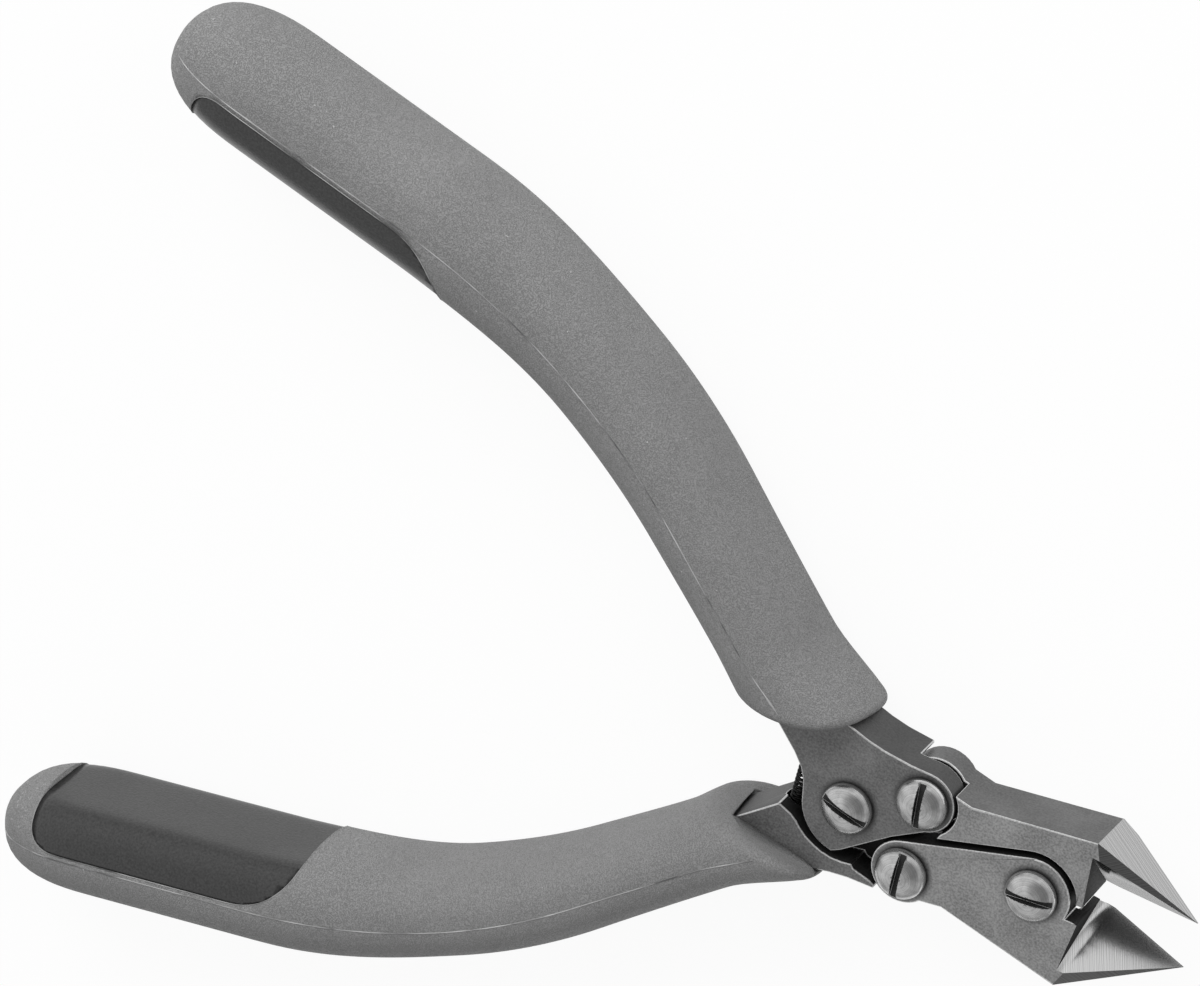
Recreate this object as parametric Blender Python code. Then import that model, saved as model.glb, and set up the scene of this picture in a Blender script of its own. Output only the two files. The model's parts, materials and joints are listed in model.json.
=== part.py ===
"""Flush cutter with compound leverage, lying on its back with the jaws open.

Two sprung handles turn about the handle pivot. Each handle drives one jaw through a link screw,
and both jaws turn about the jaw pivot. Levers and jaws are half lapped, so that each crossing
pair shares one plate thickness. All sizes are in metres. The drawing plane has the handle pivot
at its origin, +X towards the jaw tips, +Y towards the upper handle and +Z towards the screw heads.
"""
import math

import bmesh
import bpy
from mathutils import Matrix, Vector

MM = 0.001

# Linkage
ARM = 8.46 * MM                 # handle pivot to link screw
LINK = 14.12 * MM               # link screw to jaw pivot
ARM_ANGLE = 30.5                # degrees between the centre line and each arm, jaws open
JAW_OPENING = 9.2               # degrees that each jaw turns to close

# Steel plates
PLATE = 6.2 * MM                # thickness of levers and jaws
LAP_GAP = 0.3 * MM              # between the two halves of a lap
RUN_GAP = 0.35 * MM             # between a turning lobe and the edge that clears it
LEVER_LOBE = 3.35 * MM          # lever end round its link screw
JAW_LOBE = 3.45 * MM            # jaw end round its link screw
HINGE_LOBE = 4.0 * MM           # jaw end round the jaw pivot
HINGE_GAP = 0.7 * MM            # clearance round the hinge lobe

# Lever cheek round the handle pivot
CHEEK_RADIUS = 5.3 * MM
CHEEK_OFFSET = (0.25 * MM, -0.5 * MM)
CHEEK_ARC = (185, 262)          # degrees of its round edge, which a bow joins to the shank
LOBE_ARC = (-72, 90)            # degrees of the round edge at the link screw
FLANK_FOOT = 2.9 * MM           # straight flank beside the other jaw's lobe, towards the cheek
FLANK_KNEE = 3.2 * MM           # the same flank, towards the link screw
SHANK_INNER = 2.5 * MM          # inner edge of the shank, from the grip's middle line
SHANK_OUTER = 4.9 * MM          # outer edge inside the grip mouth
SHANK_CORNER = 7.6 * MM         # place of that outer edge, along the grip
LEVER_BACK = ((5.0 * MM, 7.6 * MM), (2.0 * MM, 7.8 * MM), (0.0, 8.15 * MM))

# Shoulder where a lever's lap ends
SHOULDER_GAP = 0.55 * MM        # between the cheek and the shoulder of the other lever
SHOULDER_ARC = (72, 132)        # degrees of its round stretch
FLARE_ARC = (138, 160)          # degrees where it flares towards the inner edge
FLARE = 2.1 * MM                # how far it flares there
FLARE_EXIT = (4.6 * MM, 164)    # last point, past the inner edge
LOBE_CLEAR_ARC = (129, 156)     # degrees of the stretch that clears the jaw's lobe
LOBE_FLARE = 1.6 * MM           # how far that stretch flares

# Tang inside the grip, measured along the grip's middle line
TANG_END = 58.0 * MM
TANG_HALF = 1.8 * MM
TANG_TAPER = 18.0 * MM          # where the shank has narrowed to the tang
TANG_STEPS = 6                  # straight stretches that follow the grip's bend

# Jaws, measured from the jaw pivot
JAW_DEPTH = 8.75 * MM           # outer corner, from the centre line
NOSE_START = 4.72 * MM          # outer corner, along the jaw
REAR_LAG = 0.25 * MM            # how much later the rear corner comes
HEEL = (4.9 * MM, -1.85 * MM)   # start of the straight back, from the link screw
HEEL_TURN = 318                 # degrees where the lobe ends and the back begins
EDGE_REACH = 16.3 * MM          # jaw pivot to tip
EDGE_ROOT = 7.05 * MM           # jaw pivot to the start of the cutting edge
EDGE_LAND = 0.12 * MM           # blunt land left on each edge
TIP_DEPTH = 4.0 * MM            # tip below the front face
BLANK_SPREAD = 6.0              # degrees of uncut plate beside the tip
RIDGE = (5.45 * MM, 6.88 * MM)  # start of the ridge between the two front facets
STEP_HEAD = (4.75 * MM, 6.3 * MM)  # outer end of the step above the cutting facet
STEP_FOOT = (5.2 * MM, 1.5 * MM)   # inner end of that step
NOTCH_DEPTH = 1.05 * MM         # notch floor beside the hinge lobe
LINK_LAP_ARC = (-60, 45)        # degrees of the lap edge round the link screw
LINK_LAP_EXIT = 55              # degrees where that edge leaves the link screw
HINGE_LAP_ARC = (-112, -17)     # degrees of the lap edge round the jaw pivot

# Screws
HEAD_RADIUS = 2.75 * MM
HEAD_HEIGHT = 1.5 * MM
HEAD_ROUND = 0.55 * MM
HEAD_STEP = 30.0                # degrees along that rounding
SHANK_RADIUS = 1.5 * MM
BORE_GAP = 0.3 * MM
SEAT_GAP = 0.2 * MM
SLOT_WIDTH = 0.75 * MM
SLOT_DEPTH = 0.8 * MM
SLOT_TURNS = {"handle_pivot": -12.5, "upper_link": -84.0, "lower_link": -88.0, "jaw_pivot": 8.5}

# Grip: a straight leg from the handle pivot, a bend, and a straight tail
LEG_ANGLE = 43.1                # degrees between the leg and the centre line
LEG_LENGTH = 33.5 * MM
BEND_RADIUS = 74.6 * MM
TAIL_ANGLE = 12.7
TAIL_LENGTH = 32.0 * MM
GRIP_HALF_THICK = 7.7 * MM
MOUTH_HALF = 5.5 * MM           # half width at the mouth
NECK_HALF = 4.3 * MM
MIDDLE_HALF = 5.0 * MM
TAIL_HALF = 6.2 * MM
MOUTH_START = 10.6 * MM         # mouth on the middle line, from the handle pivot
MOUTH_SKEW = 0.78               # slope of the mouth across the grip
MOUTH_TILT = 0.13               # slope of the mouth through the grip's thickness
MOUTH_CURVE = 1.0 * MM          # how far the mouth's two sides lie behind its middle
MOUTH_SHIFT = 0.85 * MM         # how far the mouth flares outwards
NECK_SHIFT = 0.2 * MM           # how far neck and bend lie outwards
TAIL_SHIFT = 0.15 * MM          # how far the tail lies outwards
SKEW_END = 32.4 * MM            # where the sections are square to the middle line again
LIP = 1.3 * MM                  # rounding of the mouth's lip
NECK_START = 18.5 * MM
MIDDLE_START = 49.6 * MM
SWELL_START = 70.7 * MM
TAIL_ROUND = 11.8 * MM
TAIL_POWER = 2.6                # squareness of the tail's end
GRIP_POWER = 2.4                # squareness of the sleeve's section
CORE_POWER = 3.0                # squareness of the core's section
WALL = 1.2 * MM                 # sleeve wall over the core
FIT_GAP = 0.3 * MM
CORE_START = 17.0 * MM
CORE_RECESS = 0.25 * MM         # core surface below the sleeve in the window
WINDOW_START = 66.3 * MM
WINDOW_SLANT = 5.5 * MM         # how far the forward end slants back
WINDOW_LIP = 4.5 * MM           # where the slant begins, from the middle line
WINDOW_CORNER = 4.2 * MM
WINDOW_END_WALL = 5.1 * MM      # sleeve left at the tail

# Return spring between the levers
SPRING_X = -6.3 * MM
SPRING_RADIUS = 0.66 * MM       # to the middle of the wire
WIRE = 0.3 * MM
SPRING_PITCH = 0.76 * MM
POCKET_DEPTH = 2.9 * MM
POCKET_GAP = 0.3 * MM

# Smoothness of round shapes
ARC_STEP = 10.0                 # degrees
SMOOTH_ANGLE = 35.0             # degrees, sharper edges stay crisp
RING_SIDES = 20
RING_STEP = 4.75 * MM           # between sections of the grip
TAIL_RINGS = 5
LIP_TURNS = (90, 60, 30)        # degrees along the lip's rounding
CORNER_POINTS = 4
CURL_POINTS = 9

FAR = 60.0 * MM                 # reach of cutters beyond the part
MERGE = 0.001 * MM

# Places worked out from the sizes above
ARM_RAD = math.radians(ARM_ANGLE)
LINK_X = ARM * math.cos(ARM_RAD)
LINK_Y = ARM * math.sin(ARM_RAD)
HINGE_X = LINK_X + math.sqrt(LINK ** 2 - LINK_Y ** 2)
HINGE = (HINGE_X, 0.0)
LINK_RAD = math.asin(LINK_Y / LINK)
CLOSED_SINE = LINK * math.sin(LINK_RAD + math.radians(JAW_OPENING)) / ARM
TRAVEL = 2 * (math.asin(CLOSED_SINE) - ARM_RAD)
FRONT = PLATE / 2
LAP = LAP_GAP / 2
BORE = SHANK_RADIUS + BORE_GAP
BEND = math.radians(LEG_ANGLE - TAIL_ANGLE)
GRIP_END = LEG_LENGTH + BEND_RADIUS * BEND + TAIL_LENGTH
CORE_END = GRIP_END - WALL
WINDOW_END = GRIP_END - WINDOW_END_WALL
SHOULDER = CHEEK_RADIUS + math.hypot(*CHEEK_OFFSET) + SHOULDER_GAP
FLANK = ARM * math.cos(TRAVEL / 2) - JAW_LOBE - RUN_GAP
SPRING_TILT = math.radians(LEG_ANGLE)
SPRING_HALF = -SPRING_X * math.tan(SPRING_TILT) - SHANK_INNER / math.cos(SPRING_TILT) + POCKET_DEPTH


def polar(centre, radius, degrees):
    """Point at a distance and direction from a centre in the drawing plane."""
    turn = math.radians(degrees)
    return (centre[0] + radius * math.cos(turn), centre[1] + radius * math.sin(turn))


def arc(centre, radius, start, end, runout=0.0, step=ARC_STEP):
    """Points along an arc. A runout makes the radius grow towards its end."""
    steps = max(2, math.ceil(abs(end - start) / step))
    points = []
    for i in range(steps + 1):
        share = i / steps
        points.append(polar(centre, radius + runout * share ** 2, start + (end - start) * share))
    return points


def circle(centre, radius):
    """Points round a full circle."""
    return arc(centre, radius, 0, 360 - ARC_STEP)


def bow(start, corner, end):
    """Points on a smooth bow that leaves its start and reaches its end in line with a corner."""
    points = []
    for i in range(CORNER_POINTS):
        share = i / (CORNER_POINTS - 1)
        points.append(tuple(start.lerp(corner, share).lerp(corner.lerp(end, share), share)))
    return points


def rounded(corners, reach):
    """The same line with each inner corner rounded, starting at a distance before the corner."""
    points = [corners[0]]
    for before, corner, after in zip(corners, corners[1:], corners[2:]):
        here = Vector(corner)
        back = Vector(before) - here
        ahead = Vector(after) - here
        start = here + back.normalized() * min(reach, back.length / 2)
        end = here + ahead.normalized() * min(reach, ahead.length / 2)
        points += bow(start, here, end)
    return points + [corners[-1]]


def grip_point(along, across):
    """Drawing plane point at a distance along the upper grip's middle line and across it."""
    leg = math.radians(180 - LEG_ANGLE)
    tail = math.radians(180 - TAIL_ANGLE)
    if along <= LEG_LENGTH:
        turn = leg
        base = Vector((math.cos(leg), math.sin(leg))) * along
    else:
        corner = Vector((math.cos(leg), math.sin(leg))) * LEG_LENGTH
        centre = corner + Vector((-math.sin(leg), math.cos(leg))) * BEND_RADIUS
        turn = min(leg + (along - LEG_LENGTH) / BEND_RADIUS, tail)
        base = centre + Vector((math.sin(turn), -math.cos(turn))) * BEND_RADIUS
        past = along - LEG_LENGTH - BEND_RADIUS * BEND
        if past > 0:
            base = base + Vector((math.cos(tail), math.sin(tail))) * past
    outward = Vector((math.sin(turn), -math.cos(turn)))
    return tuple(base + outward * across)


def new_material(name, colour, roughness, metallic):
    """Plain surface with one colour."""
    material = bpy.data.materials.new(name)
    material.use_nodes = True
    shader = material.node_tree.nodes["Principled BSDF"]
    shader.inputs["Base Color"].default_value = (*colour, 1.0)
    shader.inputs["Roughness"].default_value = roughness
    shader.inputs["Metallic"].default_value = metallic
    return material


def new_object(name, maker, smooth=False):
    """Object from a bmesh, with its faces pointing out. Round pieces are shaded smooth."""
    bmesh.ops.remove_doubles(maker, verts=maker.verts, dist=MERGE)
    bmesh.ops.recalc_face_normals(maker, faces=maker.faces)
    mesh = bpy.data.meshes.new(name)
    maker.to_mesh(mesh)
    maker.free()
    if smooth:
        mesh.shade_smooth()
        mesh.set_sharp_from_angle(angle=math.radians(SMOOTH_ANGLE))
    thing = bpy.data.objects.new(name, mesh)
    bpy.context.collection.objects.link(thing)
    return thing


def prism(outline, low, high):
    """Upright bmesh on an outline in the drawing plane."""
    maker = bmesh.new()
    floor = maker.faces.new([maker.verts.new((x, y, low)) for x, y in outline])
    grown = bmesh.ops.extrude_face_region(maker, geom=[floor])["geom"]
    tops = [item for item in grown if isinstance(item, bmesh.types.BMVert)]
    bmesh.ops.translate(maker, verts=tops, vec=(0, 0, high - low))
    return maker


def on_side(outline, side):
    """An outline drawn for the upper side, or its mirror image below the centre line."""
    return [(x, side * y) for x, y in outline]


def plane_cut(maker, corners, keep):
    """Cut along a plane through three points and leave the part with the point to keep."""
    a, b, c = corners
    normal = (b - a).cross(c - a)
    if normal.dot(keep - a) > 0:
        normal.negate()
    everything = maker.verts[:] + maker.edges[:] + maker.faces[:]
    bmesh.ops.bisect_plane(maker, geom=everything, plane_co=a, plane_no=normal, clear_outer=True)
    rim = [edge for edge in maker.edges if edge.is_boundary]
    bmesh.ops.holes_fill(maker, edges=rim)


def cut(thing, cutter, operation="DIFFERENCE"):
    """Boolean between a piece and a helper shape, which moves with the piece and isn't part of it."""
    cutter.hide_render = True
    cutter.display_type = "WIRE"
    cutter.parent = thing
    step = thing.modifiers.new(cutter.name, "BOOLEAN")
    step.operation = operation
    step.solver = "EXACT"
    step.object = cutter


def drill(thing, pivots):
    """Bores for the screws that pass through a plate."""
    for number, pivot in enumerate(pivots):
        bore = prism(circle(pivot, BORE), -FAR, FAR)
        cut(thing, new_object(f"{thing.name}_bore_{number}", bore))


def tang_edge(across, end):
    """One edge of the upper tang, from where the shank has narrowed to the tang's end."""
    run = end - TANG_TAPER
    return [grip_point(TANG_TAPER + run * i / TANG_STEPS, across) for i in range(TANG_STEPS + 1)]


def cheek_edge():
    """Inner edge of the upper lever: a bow from the straight shank into the round cheek."""
    cheek = arc(CHEEK_OFFSET, CHEEK_RADIUS, *CHEEK_ARC)
    leg = math.radians(180 - LEG_ANGLE)
    turn = math.radians(CHEEK_ARC[0])
    outward = Vector((math.sin(leg), -math.cos(leg)))
    tangent = Vector((math.sin(turn), -math.cos(turn)))
    start = Vector(cheek[0])
    reach = (-SHANK_INNER - start.dot(outward)) / tangent.dot(outward)
    corner = start + tangent * reach
    along = corner.dot(Vector((math.cos(leg), math.sin(leg))))
    return bow(Vector(grip_point(along + reach, -SHANK_INNER)), corner, start) + cheek[1:]


def lever_outline():
    """Upper lever with its cheek, seen from the front."""
    flank_turn = -ARM_ANGLE - math.degrees(TRAVEL / 2)
    flank = polar((0, 0), FLANK, flank_turn)
    points = tang_edge(-TANG_HALF, TANG_END)[::-1]
    points += [grip_point(TANG_TAPER - SHANK_INNER, -SHANK_INNER)]
    points += cheek_edge()
    points += [polar(flank, FLANK_FOOT, flank_turn - 90), polar(flank, FLANK_KNEE, flank_turn + 90)]
    points += arc((LINK_X, LINK_Y), LEVER_LOBE, *LOBE_ARC)
    points += list(LEVER_BACK)
    points += [grip_point(SHANK_CORNER, SHANK_OUTER)]
    points += tang_edge(TANG_HALF, TANG_END)
    return points


def lever_lap():
    """What is milled off the hidden half of the upper lever, up to its shoulder."""
    points = [polar((0, 0), SHOULDER + FLARE_EXIT[0], FLARE_EXIT[1])]
    points += reversed(arc((0, 0), SHOULDER, *FLARE_ARC, FLARE))
    points += reversed(arc((0, 0), SHOULDER, *SHOULDER_ARC))
    points += reversed(arc((LINK_X, LINK_Y), JAW_LOBE + RUN_GAP, *LOBE_CLEAR_ARC, LOBE_FLARE))
    points += [(points[-1][0], FAR), (FAR, FAR), (FAR, -FAR), (points[0][0], -FAR)]
    return points


def tang_pocket():
    """Room for shank and tang inside the upper grip."""
    points = tang_edge(-TANG_HALF - FIT_GAP, TANG_END + FIT_GAP)[::-1]
    points += [grip_point(TANG_TAPER - SHANK_INNER, -SHANK_INNER - FIT_GAP)]
    points += [grip_point(0, -SHANK_INNER - FIT_GAP)]
    points += [(LEVER_BACK[-1][0] + FIT_GAP, LEVER_BACK[-1][1] + FIT_GAP)]
    points += [grip_point(SHANK_CORNER + FIT_GAP, SHANK_OUTER + FIT_GAP)]
    points += tang_edge(TANG_HALF + FIT_GAP, TANG_END + FIT_GAP)
    return points


def jaw_outline():
    """Lower jaw with both its lobes, seen from the front. The nose is still blank plate."""
    link = (LINK_X, -LINK_Y)
    belt = 90 + math.degrees(LINK_RAD + math.asin((HINGE_LOBE - JAW_LOBE) / LINK))
    notch = -math.degrees(math.asin(NOTCH_DEPTH / HINGE_LOBE))
    blank = EDGE_REACH + NOSE_START
    points = arc(link, JAW_LOBE, belt, HEEL_TURN)
    points += [(link[0] + HEEL[0], link[1] + HEEL[1])]
    points += [(HINGE_X + NOSE_START + REAR_LAG, -JAW_DEPTH)]
    points += [polar(HINGE, blank, -JAW_OPENING - BLANK_SPREAD), polar(HINGE, blank, -JAW_OPENING)]
    for reach in (EDGE_REACH, EDGE_ROOT):
        points += [polar(HINGE, reach, -JAW_OPENING - math.degrees(EDGE_LAND / reach))]
    points += [(HINGE_X + HINGE_LOBE + HINGE_GAP, -NOTCH_DEPTH)]
    points += arc(HINGE, HINGE_LOBE, notch, belt)
    return points


def jaw_lap():
    """What is milled off the hidden half of the lower jaw, round both its pivots."""
    link = (LINK_X, -LINK_Y)
    clear = LEVER_LOBE + RUN_GAP
    points = arc(link, clear, *LINK_LAP_ARC)
    points += [polar(link, clear + RUN_GAP, LINK_LAP_EXIT)]
    points += arc(HINGE, HINGE_LOBE + HINGE_GAP, *HINGE_LAP_ARC)
    points += [(HINGE_X + HINGE_LOBE + HINGE_GAP, FAR), (-FAR, FAR)]
    points += [(-FAR, -FAR), (points[0][0], -FAR)]
    return points


def nose_marks(side):
    """Tip, ridge start and edge root of a jaw's nose. Side is 1 for the upper jaw."""
    tip = (*polar(HINGE, EDGE_REACH, side * JAW_OPENING), FRONT - TIP_DEPTH)
    ridge = (HINGE_X + RIDGE[0], side * RIDGE[1], FRONT)
    root = (*polar(HINGE, EDGE_ROOT, side * JAW_OPENING), -FRONT)
    return Vector(tip), Vector(ridge), Vector(root)


def nose_cuts(maker, side):
    """Outer chamfer, front facet and rear relief of a jaw's nose."""
    tip, ridge, root = nose_marks(side)
    keep = Vector((HINGE_X, side * JAW_DEPTH / 2, 0))
    corner = Vector((HINGE_X + NOSE_START, side * JAW_DEPTH, FRONT))
    rear = Vector((HINGE_X + NOSE_START + REAR_LAG, side * JAW_DEPTH, -FRONT))
    plane_cut(maker, (corner, rear, tip), keep)
    plane_cut(maker, (corner, ridge, tip), keep)
    plane_cut(maker, (root, tip, root + Vector((0, JAW_DEPTH, 0))), keep)


def cutting_facet(name, side):
    """Helper shape above the cutting facet of a jaw, in front of the step wall."""
    tip, ridge, root = nose_marks(side)
    normal = (tip - ridge).cross(root - ridge)
    head = Vector((HINGE_X + STEP_HEAD[0], side * STEP_HEAD[1]))
    foot = Vector((HINGE_X + STEP_FOOT[0], side * STEP_FOOT[1]))
    run = (foot - head).normalized() * JAW_DEPTH
    inner = foot + run
    outer = head - run
    outline = [inner, (HINGE_X + FAR, inner.y), (HINGE_X + FAR, outer.y), outer]
    maker = prism(outline, 0, FAR)
    for corner in maker.verts:
        if corner.co.z < FAR / 2:
            flat = Vector((corner.co.x, corner.co.y, 0))
            corner.co.z = normal.dot(ridge - flat) / normal.z
    return new_object(name, maker)


def spring_seat(thing, side):
    """Pocket for one end of the return spring, along Y."""
    radius = SPRING_RADIUS + WIRE / 2 + POCKET_GAP
    maker = prism(circle((0, 0), radius), 0, SPRING_HALF + POCKET_GAP)
    for corner in maker.verts:
        x, z, y = corner.co
        corner.co = (SPRING_X + x, side * y, z)
    cut(thing, new_object(f"{thing.name}_spring_pocket", maker))


def make_lever(name, side):
    """One lever: plate outline, lap, screw bores and spring pocket."""
    lever = new_object(name, prism(on_side(lever_outline(), side), -FRONT, FRONT))
    low, high = (-FAR, LAP) if side > 0 else (-LAP, FAR)
    cut(lever, new_object(f"{name}_lap", prism(on_side(lever_lap(), side), low, high)))
    drill(lever, [(0, 0), (LINK_X, side * LINK_Y)])
    spring_seat(lever, side)
    return lever


def make_jaw(name, side):
    """One jaw: plate outline with nose facets, lap and screw bores."""
    maker = prism(on_side(jaw_outline(), -side), -FRONT, FRONT)
    bmesh.ops.recalc_face_normals(maker, faces=maker.faces)
    nose_cuts(maker, side)
    jaw = new_object(name, maker)
    low, high = (-LAP, FAR) if side > 0 else (-FAR, LAP)
    cut(jaw, cutting_facet(f"{name}_facet", side))
    cut(jaw, new_object(f"{name}_lap", prism(on_side(jaw_lap(), -side), low, high)))
    drill(jaw, [(LINK_X, side * LINK_Y), HINGE])
    return jaw


def make_screw(place, centre):
    """Slotted screw with a round edged head and a plain shank."""
    name = f"{place}_screw"
    seat = FRONT + SEAT_GAP
    top = seat + HEAD_HEIGHT
    rim = HEAD_RADIUS - HEAD_ROUND
    profile = [(0, top)]
    profile += arc((rim, top - HEAD_ROUND), HEAD_ROUND, 90, 0, step=HEAD_STEP)
    profile += [(HEAD_RADIUS, seat), (SHANK_RADIUS, seat), (SHANK_RADIUS, -FRONT), (0, -FRONT)]
    maker = bmesh.new()
    corners = [maker.verts.new((centre[0] + out, centre[1], z)) for out, z in profile]
    edges = [maker.edges.new(pair) for pair in zip(corners, corners[1:])]
    bmesh.ops.spin(maker, geom=corners + edges, cent=(*centre, 0), axis=(0, 0, 1),
                   angle=2 * math.pi, steps=round(360 / ARC_STEP), use_duplicate=False)
    screw = new_object(name, maker, smooth=True)
    turned = Matrix.Rotation(math.radians(SLOT_TURNS[place]), 2)
    half = turned @ Vector((0, SLOT_WIDTH / 2))
    run = turned @ Vector((2 * HEAD_RADIUS, 0))
    middle = Vector(centre)
    slot = [middle - run - half, middle + run - half, middle + run + half, middle - run + half]
    cut(screw, new_object(f"{name}_slot", prism(slot, top - SLOT_DEPTH, FAR)))
    return screw


def blend(along, stops):
    """Smooth value between stops given as (distance, value)."""
    if along <= stops[0][0]:
        return stops[0][1]
    for (start, low), (end, high) in zip(stops, stops[1:]):
        if along <= end:
            share = (along - start) / (end - start)
            return low + (high - low) * share * share * (3 - 2 * share)
    return stops[-1][1]


def grip_ring(along, inset, power, side, tail_end):
    """One section of the grip as points round it."""
    half = blend(along, ((MOUTH_START, MOUTH_HALF), (NECK_START, NECK_HALF),
                         (MIDDLE_START, MIDDLE_HALF), (SWELL_START, TAIL_HALF)))
    shift = blend(along, ((MOUTH_START, MOUTH_SHIFT), (NECK_START, NECK_SHIFT),
                          (MIDDLE_START, NECK_SHIFT), (SWELL_START, TAIL_SHIFT)))
    skew = blend(along, ((MOUTH_START, MOUTH_SKEW), (SKEW_END, 0.0)))
    tilt = blend(along, ((MOUTH_START, MOUTH_TILT), (SKEW_END, 0.0)))
    curve = blend(along, ((MOUTH_START, MOUTH_CURVE), (SKEW_END, 0.0)))
    past = max(0.0, min(1.0, (along - (tail_end - TAIL_ROUND)) / TAIL_ROUND))
    taper = (1 - past ** TAIL_POWER) ** (1 / TAIL_POWER)
    points = []
    for i in range(RING_SIDES):
        turn = 2 * math.pi * (i + 0.5) / RING_SIDES
        wide, tall = math.cos(turn), math.sin(turn)
        across = (half - inset) * taper * math.copysign(abs(wide) ** (2 / power), wide) + shift
        height = (GRIP_HALF_THICK - inset) * taper * math.copysign(abs(tall) ** (2 / power), tall)
        lag = curve * ((across - shift) / half) ** 2
        x, y = grip_point(along - skew * across + side * tilt * height + lag, across)
        points.append((x, side * y, height))
    return points


def loft(rings):
    """Closed bmesh through a row of rings."""
    maker = bmesh.new()
    rows = [[maker.verts.new(point) for point in ring] for ring in rings]
    for near, far in zip(rows, rows[1:]):
        for i in range(len(near)):
            j = (i + 1) % len(near)
            maker.faces.new((near[i], near[j], far[j], far[i]))
    maker.faces.new(rows[0])
    maker.faces.new(rows[-1])
    return maker


def grip_stations(start, end):
    """Distances along the grip where its section is drawn, closer together at the round tail."""
    straight = end - TAIL_ROUND - start
    count = round(straight / RING_STEP)
    stations = [start + straight * i / count for i in range(count + 1)]
    for i in range(1, TAIL_RINGS + 1):
        share = math.sin(math.pi / 2 * i / (TAIL_RINGS + 0.5))
        stations.append(end - TAIL_ROUND * (1 - share))
    return stations


def grip_loft(name, start, end, inset, power, side, lip=0.0):
    """Closed grip shape from one station to another, with a rounded lip if asked for."""
    rings = []
    if lip:
        for turn in map(math.radians, LIP_TURNS):
            narrowed = inset + lip * (1 - math.cos(turn))
            rings.append(grip_ring(start + lip * (1 - math.sin(turn)), narrowed, power, side, end))
    rings += [grip_ring(along, inset, power, side, end) for along in grip_stations(start + lip, end)]
    return new_object(name, loft(rings), smooth=True)


def window_outline(side, gap):
    """Opening in the sleeve on the inner side of the tail, or its filling with a gap round it."""
    start = WINDOW_START + gap
    end = WINDOW_END - gap
    beyond = -2 * TAIL_HALF
    corners = [(start, beyond), (start, -WINDOW_LIP), (start + WINDOW_SLANT, -gap)]
    corners += [(end, -gap), (end, beyond)]
    return on_side([grip_point(*spot) for spot in rounded(corners, WINDOW_CORNER)], side)


def make_grip(word, side):
    """Core and sleeve of one grip."""
    pocket = prism(on_side(tang_pocket(), side), -FRONT - FIT_GAP, FRONT + FIT_GAP)
    tang_room = new_object(f"{word}_tang_room", pocket)
    pad = grip_loft(f"{word}_pad", CORE_START, GRIP_END, CORE_RECESS, CORE_POWER, side)
    filling = prism(window_outline(side, FIT_GAP), -FAR, FAR)
    cut(pad, new_object(f"{word}_window_filling", filling), "INTERSECT")
    core = grip_loft(f"{word}_grip_core", CORE_START, CORE_END, WALL, CORE_POWER, side)
    cut(core, pad, "UNION")
    cut(core, tang_room)
    sleeve = grip_loft(f"{word}_grip_sleeve", MOUTH_START, GRIP_END, 0.0, GRIP_POWER, side, LIP)
    core_room = grip_loft(f"{word}_core_room", CORE_START - FIT_GAP, CORE_END + FIT_GAP,
                          WALL - FIT_GAP, CORE_POWER, side)
    cut(sleeve, core_room)
    cut(sleeve, tang_room)
    cut(sleeve, new_object(f"{word}_window", prism(window_outline(side, 0.0), -FAR, FAR)))
    return core, sleeve


def make_spring(name):
    """Coil spring on an axis along Y, as one unbroken tube. Prints its least gap to itself."""
    reach = SPRING_HALF - WIRE / 2
    count = round(2 * reach / SPRING_PITCH) * CURL_POINTS
    points = []
    for i in range(count + 1):
        x, z = polar((SPRING_X, 0), SPRING_RADIUS, 360 * i / CURL_POINTS)
        points.append(Vector((x, reach * (2 * i / count - 1), z)))
    apart = [(a - b).length for i, a in enumerate(points) for b in points[i + CURL_POINTS // 2:]]
    print("return spring least gap to itself, mm:", round((min(apart) - WIRE) / MM, 3))
    curve = bpy.data.curves.new(name, "CURVE")
    curve.dimensions = "3D"
    curve.bevel_depth = WIRE / 2
    curve.bevel_resolution = 1
    curve.use_fill_caps = True
    line = curve.splines.new("POLY")
    line.points.add(count)
    for spot, point in zip(line.points, points):
        spot.co = (*point, 1.0)
    spring = bpy.data.objects.new(name, curve)
    bpy.context.collection.objects.link(spring)
    return spring


def body(name, pivot, pieces, parent=None, parent_pivot=(0, 0)):
    """Empty on a joint axis that carries its pieces. Pieces are drawn in the shared plane."""
    empty = bpy.data.objects.new(name, None)
    bpy.context.collection.objects.link(empty)
    empty.parent = parent
    empty.location = (pivot[0] - parent_pivot[0], pivot[1] - parent_pivot[1], 0)
    for piece in pieces:
        piece.parent = empty
        piece.location = (-pivot[0], -pivot[1], 0)
    return empty


def settle(base, pieces):
    """Move the whole part so that the middle of its underside is at the world's origin."""
    bpy.context.view_layer.update()
    scene = bpy.context.evaluated_depsgraph_get()
    corners = []
    for piece in pieces:
        shape = piece.evaluated_get(scene)
        corners += [shape.matrix_world @ corner.co for corner in shape.to_mesh().vertices]
        shape.to_mesh_clear()
    low = [min(corner[i] for corner in corners) for i in range(3)]
    high = [max(corner[i] for corner in corners) for i in range(3)]
    base.location = (-(low[0] + high[0]) / 2, -(low[1] + high[1]) / 2, -low[2])
    bpy.context.view_layer.update()


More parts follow.
